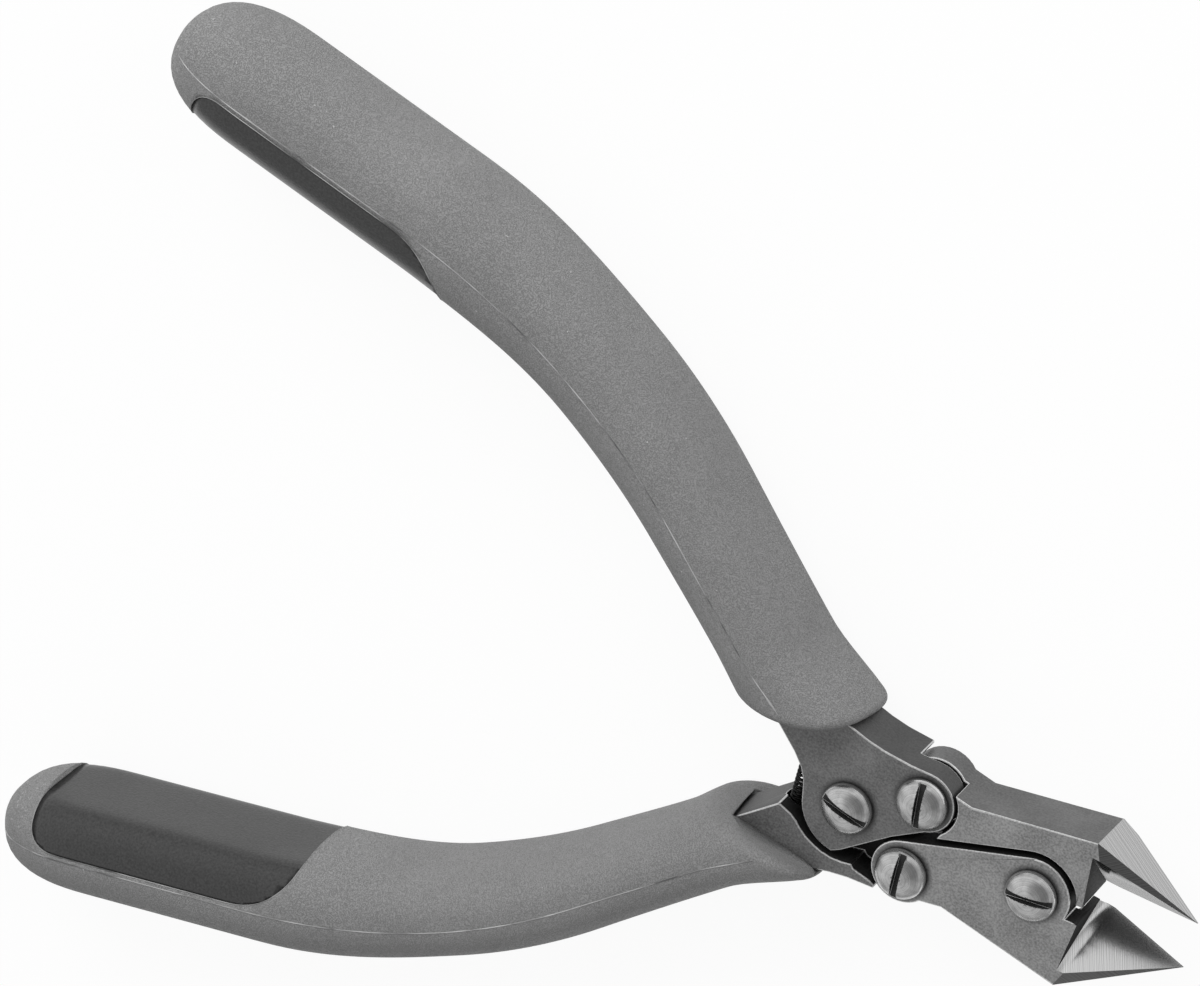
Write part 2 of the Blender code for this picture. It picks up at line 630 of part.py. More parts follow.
def main():
    for old in list(bpy.data.objects):
        bpy.data.objects.remove(old, do_unlink=True)
    lever_steel = new_material("lever_steel", (0.13, 0.13, 0.13), 0.42, 1.0)
    jaw_steel = new_material("jaw_steel", (0.22, 0.22, 0.22), 0.38, 1.0)
    screw_steel = new_material("screw_steel", (0.45, 0.45, 0.44), 0.3, 1.0)
    core_plastic = new_material("core_plastic", (0.05, 0.05, 0.05), 0.45, 0.0)
    sleeve_rubber = new_material("sleeve_rubber", (0.22, 0.22, 0.22), 0.7, 0.0)
    spring_steel = new_material("spring_steel", (0.1, 0.1, 0.1), 0.4, 1.0)

    upper_lever = make_lever("upper_lever", 1)
    lower_lever = make_lever("lower_lever", -1)
    upper_jaw = make_jaw("upper_jaw", 1)
    lower_jaw = make_jaw("lower_jaw", -1)
    upper_core, upper_sleeve = make_grip("upper", 1)
    lower_core, lower_sleeve = make_grip("lower", -1)
    handle_screw = make_screw("handle_pivot", (0, 0))
    upper_screw = make_screw("upper_link", (LINK_X, LINK_Y))
    lower_screw = make_screw("lower_link", (LINK_X, -LINK_Y))
    jaw_screw = make_screw("jaw_pivot", HINGE)
    spring = make_spring("return_spring")

    finishes = [(lever_steel, (upper_lever, lower_lever)), (jaw_steel, (upper_jaw, lower_jaw))]
    finishes += [(screw_steel, (handle_screw, upper_screw, lower_screw, jaw_screw))]
    finishes += [(core_plastic, (upper_core, lower_core))]
    finishes += [(sleeve_rubber, (upper_sleeve, lower_sleeve)), (spring_steel, (spring,))]
    for finish, pieces in finishes:
        for piece in pieces:
            piece.data.materials.append(finish.copy())

    lower_link = (LINK_X, -LINK_Y)
    lower_pieces = [lower_lever, lower_core, lower_sleeve, handle_screw, lower_screw, spring]
    lower_handle = body("lower_handle", (0, 0), lower_pieces)
    upper_handle = body("upper_handle", (0, 0), [upper_lever, upper_core, upper_sleeve], lower_handle)
    lower_cutter = body("lower_cutter", lower_link, [lower_jaw], lower_handle)
    upper_pieces = [upper_jaw, jaw_screw, upper_screw]
    upper_cutter = body("upper_cutter", HINGE, upper_pieces, lower_cutter, lower_link)
    settle(lower_handle, [piece for _, pieces in finishes for piece in pieces])
    for joint in (lower_handle, upper_handle, lower_cutter, upper_cutter):
        place = [round(value / MM, 4) for value in joint.matrix_world.translation]
        print(joint.name, "axis at, mm:", place)
    print("handle travel to meeting edges, degrees:", round(math.degrees(TRAVEL), 3))


main()
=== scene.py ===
# %% [markdown]
# # A flush cutter, dressed for its portrait
# This lesson takes a working model of a small cutter with two handles, two jaws and four screws,
# and gives each piece the surface that the real one shows. The working model is the frame: it says
# where every piece is and what turns about what. Nothing here moves or resizes it.

# %% Load the frame
import json
import math

import bmesh
import bpy
from mathutils import Matrix, Vector


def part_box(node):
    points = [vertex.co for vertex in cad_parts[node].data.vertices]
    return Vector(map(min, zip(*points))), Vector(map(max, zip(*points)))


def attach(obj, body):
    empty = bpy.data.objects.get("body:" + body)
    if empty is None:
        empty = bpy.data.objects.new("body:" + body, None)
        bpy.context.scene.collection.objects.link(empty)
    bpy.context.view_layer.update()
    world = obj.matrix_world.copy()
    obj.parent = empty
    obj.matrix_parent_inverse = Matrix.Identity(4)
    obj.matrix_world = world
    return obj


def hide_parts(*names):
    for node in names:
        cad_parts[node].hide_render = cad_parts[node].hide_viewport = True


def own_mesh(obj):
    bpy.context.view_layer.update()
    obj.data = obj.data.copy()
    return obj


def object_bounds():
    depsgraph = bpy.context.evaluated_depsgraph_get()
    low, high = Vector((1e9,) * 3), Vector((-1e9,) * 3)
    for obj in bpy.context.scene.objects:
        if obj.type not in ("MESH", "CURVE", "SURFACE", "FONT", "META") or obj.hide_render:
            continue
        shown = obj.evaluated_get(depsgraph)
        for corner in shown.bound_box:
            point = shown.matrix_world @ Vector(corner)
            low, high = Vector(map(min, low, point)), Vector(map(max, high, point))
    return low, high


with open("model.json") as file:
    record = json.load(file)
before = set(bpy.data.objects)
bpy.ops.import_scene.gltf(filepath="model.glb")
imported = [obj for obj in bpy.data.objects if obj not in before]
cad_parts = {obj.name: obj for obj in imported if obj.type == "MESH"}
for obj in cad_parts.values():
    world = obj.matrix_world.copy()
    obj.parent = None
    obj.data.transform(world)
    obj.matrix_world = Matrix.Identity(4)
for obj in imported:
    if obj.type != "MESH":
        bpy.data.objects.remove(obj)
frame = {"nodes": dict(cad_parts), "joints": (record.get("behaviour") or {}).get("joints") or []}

MM = 0.001
cad_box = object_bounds()
joints = {joint["name"]: joint for joint in frame["joints"]}
HANDLE_PIVOT = Vector(joints["handle"]["pos_m"])
JAW_PIVOT = Vector(joints["jaw_hinge"]["pos_m"])
print("nodes:", len(frame["nodes"]), "joints:", sorted(joints))

# %% [markdown]
# ## Small helpers for meshes
# A bmesh is Blender's workbench for building a mesh from points and faces. These helpers turn one
# into an object, cut one object with another, and tell the frame which body a piece rides on.

# %% Mesh helpers
SMOOTH_ANGLE = math.radians(35)
WELD = 0.002 * MM


def new_piece(name, maker, material):
    """Object made from a bmesh, smooth where its faces nearly agree."""
    bmesh.ops.recalc_face_normals(maker, faces=maker.faces)
    mesh = bpy.data.meshes.new(name)
    maker.to_mesh(mesh)
    maker.free()
    mesh.shade_smooth()
    mesh.set_sharp_from_angle(angle=SMOOTH_ANGLE)
    mesh.materials.append(material)
    piece = bpy.data.objects.new(name, mesh)
    bpy.context.scene.collection.objects.link(piece)
    return piece


def carve(piece, cutter, operation="DIFFERENCE"):
    """Boolean that is applied at once, after which the cutter is thrown away."""
    step = piece.modifiers.new("carve", "BOOLEAN")
    step.operation = operation
    step.solver = "EXACT"
    step.object = cutter
    step.material_mode = "TRANSFER"
    bpy.context.view_layer.update()
    shown = piece.evaluated_get(bpy.context.evaluated_depsgraph_get())
    piece.modifiers.clear()
    piece.data = bpy.data.meshes.new_from_object(shown)
    bpy.data.objects.remove(cutter)


def soften(piece, width, segments=3, worn_slot=0, limit="ANGLE"):
    """Small rounding on every sharp edge, or on each edge by its own weight."""
    step = piece.modifiers.new("soft edges", "BEVEL")
    step.width = width
    step.segments = segments
    step.limit_method = limit
    step.angle_limit = SMOOTH_ANGLE
    step.use_clamp_overlap = False
    step.harden_normals = True
    step.material = worn_slot


def dress(piece, node, body):
    """The piece stands for a CAD node and moves with that node's body."""
    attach(piece, body)
    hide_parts(node)


def prism(outline, low, high):
    """Upright bmesh on an outline."""
    maker = bmesh.new()
    floor = maker.faces.new([maker.verts.new((x, y, low)) for x, y in outline])
    grown = bmesh.ops.extrude_face_region(maker, geom=[floor])["geom"]
    tops = [item for item in grown if isinstance(item, bmesh.types.BMVert)]
    bmesh.ops.translate(maker, verts=tops, vec=(0, 0, high - low))
    return maker


def tube(name, points, radii, material):
    """Thin round line through points, with a thickness at each."""
    curve = bpy.data.curves.new(name, "CURVE")
    curve.dimensions = "3D"
    curve.bevel_depth = 1.0
    curve.bevel_resolution = 2
    curve.use_fill_caps = True
    line = curve.splines.new("POLY")
    line.points.add(len(points) - 1)
    for spot, point, radius in zip(line.points, points, radii):
        spot.co = (*point, 1.0)
        spot.radius = radius
    curve.materials.append(material)
    piece = bpy.data.objects.new(name, curve)
    bpy.context.scene.collection.objects.link(piece)
    return piece


# %% [markdown]
# ## Effects that several finishes share
# Stains, grain, pebbles, wheel lines, turning marks and the painted shade with grime round screws come
# back on several pieces. Each could be a painted picture, but a node group is a small program that
# needs no picture and can be placed in any material with its own values. It reads the point on the
# object in metres, so a scale of 2000 means about 2000 grains to the metre. The groups hand out masks,
# and the shader stays in the material.

# %% Node helpers
def new_group(name, inputs, outputs):
    """Empty shader node group with named sockets."""
    tree = bpy.data.node_groups.new(name, "ShaderNodeTree")
    for word, kind, value in inputs:
        tree.interface.new_socket(word, in_out="INPUT", socket_type=kind).default_value = value
    for word in outputs:
        tree.interface.new_socket(word, in_out="OUTPUT", socket_type="NodeSocketFloat")
    return tree, tree.nodes.new("NodeGroupInput"), tree.nodes.new("NodeGroupOutput")


def add(tree, kind, **sockets):
    """Shader node whose inputs are set by name, to a value or to another node's output."""
    node = tree.nodes.new("ShaderNode" + kind)
    for word, value in sockets.items():
        socket = node.inputs[word.replace("_", " ")]
        if isinstance(value, bpy.types.NodeSocket):
            tree.links.new(value, socket)
        else:
            socket.default_value = value
    return node


def math_node(tree, operation, first, second=0.0, third=0.0):
    """Sum, product or the like of values."""
    node = tree.nodes.new("ShaderNodeMath")
    node.operation = operation
    for socket, value in zip(node.inputs, (first, second, third)):
        if isinstance(value, bpy.types.NodeSocket):
            tree.links.new(value, socket)
        else:
            socket.default_value = value
    return node.outputs[0]


def vector_node(tree, operation, first, second=(0.0, 0.0, 0.0)):
    """Sum, product or the like of vectors."""
    node = tree.nodes.new("ShaderNodeVectorMath")
    node.operation = operation
    for socket, value in zip(node.inputs, (first, second)):
        if isinstance(value, bpy.types.NodeSocket):
            tree.links.new(value, socket)
        else:
            socket.default_value = value
    return node


def dot(tree, first, second):
    """How far a vector points along a direction."""
    return vector_node(tree, "DOT_PRODUCT", first, second).outputs["Value"]


def flat_distance(tree, first, second):
    """Distance between two points, seen from above."""
    gap = vector_node(tree, "SUBTRACT", first, second).outputs["Vector"]
    gap = vector_node(tree, "MULTIPLY", gap, (1.0, 1.0, 0.0)).outputs["Vector"]
    return vector_node(tree, "LENGTH", gap).outputs["Value"]


def spread(tree, value, low, high, to_low=0.0, to_high=1.0):
    """A value stretched from one range to another, and kept inside it."""
    sockets = {"Value": value, "From_Min": low, "From_Max": high, "To_Min": to_low, "To_Max": to_high}
    return add(tree, "MapRange", **sockets).outputs["Result"]


def grey(level):
    """Neutral colour of one level."""
    return (level, level, level, 1.0)


def mix_colour(tree, share, first, second):
    """Colour between two others."""
    node = tree.nodes.new("ShaderNodeMix")
    node.data_type = "RGBA"
    tree.links.new(share, node.inputs["Factor"])
    for word, value in (("A", first), ("B", second)):
        socket = [item for item in node.inputs if item.name == word and item.type == "RGBA"][0]
        if isinstance(value, bpy.types.NodeSocket):
            tree.links.new(value, socket)
        else:
            socket.default_value = grey(value)
    return [item for item in node.outputs if item.type == "RGBA"][0]


# %% Shared node groups
NOISE_RANGE = (0.3, 0.7)
STAIN_RANGE = (0.35, 0.65)
LINE_WANDER = 0.15 * MM
# Ring of painted shade round each screw head, with some grime: where it starts, where it ends, how
# ragged
SHADE_AND_GRIME_START = 2.7 * MM
SHADE_AND_GRIME_END = 3.5 * MM
SHADE_AND_GRIME_RAGGED = 0.25 * MM


def make_mottle():
    """Cloudy stains and a fine grain, as on blasted or tumbled metal and on moulded plastic."""
    inputs = [("Stain Scale", "NodeSocketFloat", 300.0), ("Grain Scale", "NodeSocketFloat", 6000.0)]
    tree, given, result = new_group("stains and grain", inputs, ("Stain", "Grain"))
    place = add(tree, "TexCoord").outputs["Object"]
    stain = add(tree, "TexNoise", Vector=place, Scale=given.outputs["Stain Scale"], Detail=4.0)
    grain = add(tree, "TexNoise", Vector=place, Scale=given.outputs["Grain Scale"], Detail=2.0)
    tree.links.new(spread(tree, stain.outputs["Fac"], *STAIN_RANGE), result.inputs["Stain"])
    tree.links.new(spread(tree, grain.outputs["Fac"], *NOISE_RANGE), result.inputs["Grain"])
    return tree


def make_pebble():
    """Small pads with winding grooves between them, as a textured mould leaves them."""
    inputs = [("Scale", "NodeSocketFloat", 1900.0), ("Groove", "NodeSocketFloat", 0.08)]
    tree, given, result = new_group("pebble", inputs, ("Pads",))
    place = add(tree, "TexCoord").outputs["Object"]
    noise = add(tree, "TexNoise", Vector=place, Scale=given.outputs["Scale"], Detail=1.0)
    apart = math_node(tree, "ABSOLUTE", math_node(tree, "SUBTRACT", noise.outputs["Fac"], 0.5))
    tree.links.new(spread(tree, apart, 0.0, given.outputs["Groove"]), result.inputs["Pads"])
    return tree


def make_lines():
    """Long fine scratches left by a grinding wheel. They run square to the direction given."""
    inputs = [("Across", "NodeSocketVector", (1.0, 0.0, 0.0)), ("Count", "NodeSocketFloat", 9000.0)]
    tree, given, result = new_group("grinding lines", inputs, ("Lines",))
    place = add(tree, "TexCoord").outputs["Object"]
    wander = add(tree, "TexNoise", Vector=place, Scale=400.0, Detail=1.0)
    along = dot(tree, place, given.outputs["Across"])
    bent = math_node(tree, "MULTIPLY_ADD", wander.outputs["Fac"], LINE_WANDER, along)
    lines = tree.nodes.new("ShaderNodeTexNoise")
    lines.noise_dimensions = "1D"
    lines.inputs["Detail"].default_value = 3.0
    tree.links.new(bent, lines.inputs["W"])
    tree.links.new(given.outputs["Count"], lines.inputs["Scale"])
    tree.links.new(spread(tree, lines.outputs["Fac"], *NOISE_RANGE), result.inputs["Lines"])
    return tree


def make_rings():
    """Turning marks round an object's own upright axis."""
    tree, given, result = new_group("turning marks", [("Count", "NodeSocketFloat", 9000.0)], ("Rings",))
    place = add(tree, "TexCoord").outputs["Object"]
    flat = add(tree, "SeparateXYZ", Vector=place)
    squares = math_node(tree, "MULTIPLY", flat.outputs["X"], flat.outputs["X"])
    squares = math_node(tree, "MULTIPLY_ADD", flat.outputs["Y"], flat.outputs["Y"], squares)
    rings = tree.nodes.new("ShaderNodeTexNoise")
    rings.noise_dimensions = "1D"
    tree.links.new(math_node(tree, "SQRT", squares), rings.inputs["W"])
    tree.links.new(given.outputs["Count"], rings.inputs["Scale"])
    tree.links.new(spread(tree, rings.outputs["Fac"], *NOISE_RANGE), result.inputs["Rings"])
    return tree


def make_screw_shade_and_grime():
    """Painted shade with some grime under a plate's screw heads: dark in a ring round the axes of its
    two screws.
    """
    inputs = [(word, "NodeSocketVector", (0.0, 0.0, 0.0)) for word in ("First", "Second")]
    tree, given, result = new_group("screw grime", inputs, ("Unshaded Clean",))
    place = add(tree, "TexCoord").outputs["Object"]
    apart = [flat_distance(tree, place, given.outputs[word]) for word in ("First", "Second")]
    nearest = math_node(tree, "MINIMUM", *apart)
    wander = add(tree, "TexNoise", Vector=place, Scale=900.0, Detail=3.0)
    ragged = math_node(tree, "MULTIPLY_ADD", wander.outputs["Fac"], SHADE_AND_GRIME_RAGGED, nearest)
    tree.links.new(spread(tree, ragged, SHADE_AND_GRIME_START, SHADE_AND_GRIME_END), result.inputs["Unshaded Clean"])
    return tree


mottle = make_mottle()
pebble = make_pebble()
grinding_lines = make_lines()
turning_marks = make_rings()
screw_shade_and_grime = make_screw_shade_and_grime()
print("node groups:", [group.name for group in bpy.data.node_groups])


# %% Material helpers
def new_finish(name, metallic, specular=0.5):
    """Material with its node tree and its shader. Plain values sit on the shader's own sockets."""
    material = bpy.data.materials.new(name)
    material.use_nodes = True
    tree = material.node_tree
    shader = tree.nodes["Principled BSDF"]
    shader.inputs["Metallic"].default_value = metallic
    shader.inputs["Specular IOR Level"].default_value = specular
    return material, tree, shader


def use_group(tree, group, **sockets):
    """One of the shared effects, with its own values."""
    node = tree.nodes.new("ShaderNodeGroup")
    node.node_tree = group
    for word, value in sockets.items():
        node.inputs[word.replace("_", " ")].default_value = value
    return node


def relief(tree, shader, height, depth):
    """Bump with a real depth in metres."""
    bump = add(tree, "Bump", Height=height, Strength=1.0, Distance=depth)
    tree.links.new(bump.outputs["Normal"], shader.inputs["Normal"])


# %% [markdown]
# ## Steel
# Levers and jaws are cut from plate and tumbled, so their faces are matt grey with soft stains and
# their edges are worn bright. Edge wear could be a mask in the material, but here it is geometry: a
# bevel with a material of its own, which catches light as a real worn edge does. The noses are ground
# after that, and keep the wheel's lines. The cutting facets are slightly arched, so that one part of
# a facet can mirror the dark jaw across from it while the rest mirrors brighter surroundings. The
# upper jaw's cutting facet also gets a much darker tone than the lower one's, which is painted shade.

# %% Steel finishes
GRAIN_DEPTH = 0.012 * MM
LINE_DEPTH = 0.0015 * MM
RING_DEPTH = 0.005 * MM
CROWN_SLOPE = 0.28
SHADE_AND_GRIME = 0.03
EDGE_STAIN = 420.0


def make_tumbled(name, dark, light, rough_low, rough_high, metallic, stain_scale=260.0, screws=()):
    """Matt steel with faint stains, a fine grain and painted shade with some grime round its screws, if
    it has two.
    """
    material, tree, shader = new_finish(name, metallic)
    marks = use_group(tree, mottle, Stain_Scale=stain_scale, Grain_Scale=4500.0)
    stain = math_node(tree, "MULTIPLY", marks.outputs["Stain"], 0.3)
    share = math_node(tree, "MULTIPLY_ADD", marks.outputs["Grain"], 0.7, stain)
    colour = mix_colour(tree, share, dark, light)
    # Near black ring round the screws: painted shade under the heads, with some grime
    if screws:
        first, second = [sum(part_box(f"{place}_screw"), Vector()) / 2 for place in screws]
        unshaded_clean = use_group(tree, screw_shade_and_grime, First=first, Second=second).outputs["Unshaded Clean"]
        colour = mix_colour(tree, unshaded_clean, SHADE_AND_GRIME, colour)
    tree.links.new(colour, shader.inputs["Base Color"])
    rough = spread(tree, marks.outputs["Grain"], 0.0, 1.0, rough_low, rough_high)
    tree.links.new(rough, shader.inputs["Roughness"])
    relief(tree, shader, marks.outputs["Grain"], GRAIN_DEPTH)
    return material


def crown_height(tree, start, direction, width):
    """Height in metres of a shallow arch across a facet, from its start along a direction."""
    place = add(tree, "TexCoord").outputs["Object"]
    run = math_node(tree, "SUBTRACT", dot(tree, place, direction), start.dot(direction))
    left = math_node(tree, "SUBTRACT", width, run)
    return math_node(tree, "MULTIPLY", math_node(tree, "MULTIPLY", run, left), CROWN_SLOPE / width)


def make_ground(name, across, count, dark, light, rough_low, rough_high, crown=None):
    """Bright steel with grinding lines. A crown is where a facet's shallow arch starts and runs."""
    material, tree, shader = new_finish(name, 1.0)
    lines = use_group(tree, grinding_lines, Across=across, Count=count).outputs["Lines"]
    tree.links.new(mix_colour(tree, lines, dark, light), shader.inputs["Base Color"])
    tree.links.new(spread(tree, lines, 0.0, 1.0, rough_high, rough_low), shader.inputs["Roughness"])
    height = math_node(tree, "MULTIPLY", lines, LINE_DEPTH)
    if crown:
        height = math_node(tree, "ADD", height, crown_height(tree, *crown))
    relief(tree, shader, height, 1.0)
    return material


def make_turned(name, dark, light):
    """Bright steel with turning marks and stains."""
    material, tree, shader = new_finish(name, 1.0)
    rings = use_group(tree, turning_marks, Count=5000.0)
    marks = use_group(tree, mottle, Stain_Scale=900.0)
    stain = math_node(tree, "MULTIPLY", marks.outputs["Stain"], 0.55)
    share = math_node(tree, "MULTIPLY_ADD", rings.outputs["Rings"], 0.45, stain)
    tree.links.new(mix_colour(tree, share, dark, light), shader.inputs["Base Color"])
    tree.links.new(spread(tree, share, 0.0, 1.0, 0.34, 0.2), shader.inputs["Roughness"])
    relief(tree, shader, rings.outputs["Rings"], RING_DEPTH)
    return material


# Name, dark and light tone, low and high roughness, and how much of a metal it is
# The lever's sides: a darker copy of its face finish, which is painted shade
lever_side = make_tumbled("lever_side", 0.04, 0.085, 0.42, 0.54, 0.45)
lever_edge = make_tumbled("lever_edge", 0.4, 0.75, 0.3, 0.4, 1.0, EDGE_STAIN)
# The jaw's sides: a darker copy of its face finish, which is painted shade
jaw_side = make_tumbled("jaw_side", 0.09, 0.19, 0.4, 0.52, 0.7)
jaw_edge = make_tumbled("jaw_edge", 0.5, 0.9, 0.28, 0.38, 1.0, EDGE_STAIN)
# Gap faces: near black, painted shade with some grime
gap_grime = make_tumbled("gap_grime", 0.008, 0.022, 0.6, 0.7, 0.3)
screw_steel = make_turned("screw_steel", 0.32, 0.7)
# Slot faces: near black, painted shade as a narrow slot looks
slot_grime = make_tumbled("slot_grime", 0.02, 0.05, 0.6, 0.7, 0.5)
spring_steel = make_tumbled("spring_steel", 0.015, 0.045, 0.35, 0.45, 1.0)
print("steel finishes:", len(bpy.data.materials))

# %% [markdown]
# ## Levers and jaws
# Their shapes are right in the frame, so each is a copy of the frame's own mesh, with flat faces
# joined again and its worn edges rounded. A bevel weight on each edge says which ones: the ground
# edges of the noses stay crisp. Faces in the gaps between plates, in the jaws' throat and on the step
# wall get a near black finish, which is painted shade with some grime. The sides get a darker copy of
# the face finish, which is painted shade. On the jaws, faces that lean are ground ones. Each gets a
# finish by the way it faces, because each was ground in its own direction.

# %% Plate helpers
EDGE_ROUND = 0.15 * MM
FLAT = math.radians(0.5)
PLATE_HALF = 3.1 * MM
LAP_HALF = 0.8 * MM
NOSE_FROM = JAW_PIVOT.x + 4.4 * MM
THROAT_HALF = 2.4 * MM
# From and to, as distances ahead of the jaw pivot
THROAT = (3.4 * MM, 7.2 * MM)
STEP_WALL = (4.4 * MM, 5.8 * MM)
FRONT_SLOT, EDGE_SLOT, SIDE_SLOT, GAP_SLOT, CUT_SLOT, CHAMFER_SLOT, FACET_SLOT = range(7)
# A wall of the front half faces a gap where its normal's Y is above this: never at 2, always at -2
GAP_WALLS = {"upper_lever": 2.0, "lower_lever": -2.0, "upper_jaw": -2.0, "lower_jaw": -0.2}


def plate_slot(face, node):
    """Material slot for a face of a plate: front, side, or a place painted near black as shade, with
    some grime.
    """
    height = face.center.z - HANDLE_PIVOT.z
    ahead = face.center.x - JAW_PIVOT.x
    if abs(face.normal.z) > 0.5:
        return GAP_SLOT if abs(height) < LAP_HALF else FRONT_SLOT
    shoulder = height > LAP_HALF and face.normal.y > GAP_WALLS[node]
    throat = THROAT[0] < ahead < THROAT[1] and abs(face.center.y) < THROAT_HALF
    step = STEP_WALL[0] < ahead < STEP_WALL[1] and face.normal.x > 0.8
    return GAP_SLOT if shoulder or throat or step else SIDE_SLOT


def weigh_edges(maker):
    """Bevel weights: full on worn edges, none on the crisp ground edges of the nose."""
    weight = maker.edges.layers.float.new("bevel_weight_edge")
    for edge in maker.edges:
        middle = (edge.verts[0].co + edge.verts[1].co) / 2
        if edge.calc_face_angle(0.0) > SMOOTH_ANGLE and middle.x < NOSE_FROM:
            edge[weight] = 1.0


def plate_copy(node, front, edge, shaded_flank):
    """The frame's mesh of a plate with its flat faces joined and its edges rounded."""
    maker = bmesh.new()
    maker.from_mesh(frame["nodes"][node].data)
    bmesh.ops.remove_doubles(maker, verts=maker.verts, dist=WELD)
    bmesh.ops.dissolve_limit(maker, angle_limit=FLAT, verts=maker.verts, edges=maker.edges)
    weigh_edges(maker)
    piece = new_piece(f"{node}_plate", maker, front)
    # The side finish is a darker copy of the face finish: painted shade
    for finish in (edge, shaded_flank, gap_grime):
        piece.data.materials.append(finish)
    for face in piece.data.polygons:
        # Gap, throat and step faces take the near black finish: painted shade with some grime
        face.material_index = plate_slot(face, node)
    soften(piece, EDGE_ROUND, worn_slot=EDGE_SLOT, limit="WEIGHT")
    return piece


# %% Ground noses
JAW_OPENING = math.radians(9.2)
EDGE_ROOT = 7.05 * MM
CROWN_WIDTH = 11.0 * MM
CROWN_RISE = (-0.276, 0.658, 0.7025)
# Directions across the wheel's lines, and lines to the metre, for the upper jaw
CUT_ACROSS = (0.87, -0.35, -0.33)
CUT_LINES = 16000.0
CHAMFER_ACROSS = (-0.18, 0.1, 0.978)
FACET_ACROSS = (-0.3, 0.85, 0.3)
COARSE_LINES = 9000.0
# Dark and light tone of the cutting facet, by side. The upper jaw's (side 1) is far darker than the
# lower jaw's, which is painted shade on the same ground steel
CUT_TONES_AND_SHADE = {1: (0.07, 0.17), -1: (0.42, 0.74)}


def mirrored(direction, side):
    """A direction on the upper jaw (side 1), or its mirror image on the lower one (side -1)."""
    return Vector((direction[0], side * direction[1], direction[2]))


def facet_slot(normal, side):
    """Material slot for a ground face of the nose, or None."""
    inward = -side * normal.y
    if 0.5 < normal.z < 0.8 and inward > 0.5:
        return CUT_SLOT
    if abs(normal.z) < 0.15 and normal.x > 0.3 and inward < -0.5:
        return CHAMFER_SLOT
    if 0.8 < normal.z < 0.97 and normal.x > 0.2:
        return FACET_SLOT
    # The back of the nose is ground as the chamfer is
    return CHAMFER_SLOT if -0.99 < normal.z < -0.1 else None


def grind(piece, side):
    """Ground finishes on the leaning faces of a jaw's nose."""
    word = piece.name.split("_")[0]
    root = mirrored((math.cos(JAW_OPENING), math.sin(JAW_OPENING), 0), side) * EDGE_ROOT
    root += JAW_PIVOT - Vector((0, 0, PLATE_HALF))
    crown = (root, mirrored(CROWN_RISE, side), CROWN_WIDTH)
    # Name, direction, lines, dark and light tone, low and high roughness
    facets = (
        ("cutting_facet", CUT_ACROSS, CUT_LINES, *CUT_TONES_AND_SHADE[side], 0.16, 0.24, crown),
        ("outer_chamfer", CHAMFER_ACROSS, COARSE_LINES, 0.26, 0.64, 0.24, 0.36),
        ("front_facet", FACET_ACROSS, COARSE_LINES, 0.11, 0.2, 0.3, 0.4),
    )
    for name, across, *values in facets:
        finish = make_ground(f"{word}_{name}", mirrored(across, side), *values)
        piece.data.materials.append(finish)
    for face in piece.data.polygons:
        slot = facet_slot(face.normal, side) if face.center.x > NOSE_FROM else None
        if slot is not None:
            face.material_index = slot


# %% The four plates
for word, side in (("upper", 1), ("lower", -1)):
    screws = ("handle_pivot", f"{word}_link")
    lever_steel = make_tumbled(f"{word}_lever_steel", 0.09, 0.22, 0.4, 0.52, 0.45, screws=screws)
    lever = plate_copy(f"{word}_lever", lever_steel, lever_edge, lever_side)
    dress(lever, f"{word}_lever", f"{word}_handle")
    screws = (f"{word}_link", "jaw_pivot")
    jaw_steel = make_tumbled(f"{word}_jaw_steel", 0.17, 0.42, 0.38, 0.5, 0.7, screws=screws)
    jaw = plate_copy(f"{word}_jaw", jaw_steel, jaw_edge, jaw_side)
    grind(jaw, side)
    dress(jaw, f"{word}_jaw", f"{word}_cutter")

# %% [markdown]
# ## Screws
# The heads come from a lathe: a domed top, a short side and a sawn slot. A cylinder with a rounded
# edge would do from afar, but a profile spun round an axis gives the dome its true shading. The slot
# is cut by a long box whose near black finish stays on the cut faces, as painted shade in the slot.
# Each screw's own origin is on its axis, so the turning marks run round it.

# %% Slotted screws
HEAD_ROUND = 0.04 * MM
DOME_DROP = 1.25 * MM
DOME_POWER = 2.1
HEAD_HEIGHT = 1.5 * MM
SLOT_WIDTH = 0.75 * MM
SLOT_DEPTH = 0.8 * MM
SHANK_RADIUS = 1.5 * MM
TURN_STEPS = 96
DOME_STEPS = 22
# Place, body and turn of the slot in degrees
SCREWS = (
    ("handle_pivot", "lower_handle", -12.5),
    ("lower_link", "lower_handle", -88.0),
    ("upper_link", "upper_cutter", -84.0),
    ("jaw_pivot", "upper_cutter", 8.5),
)


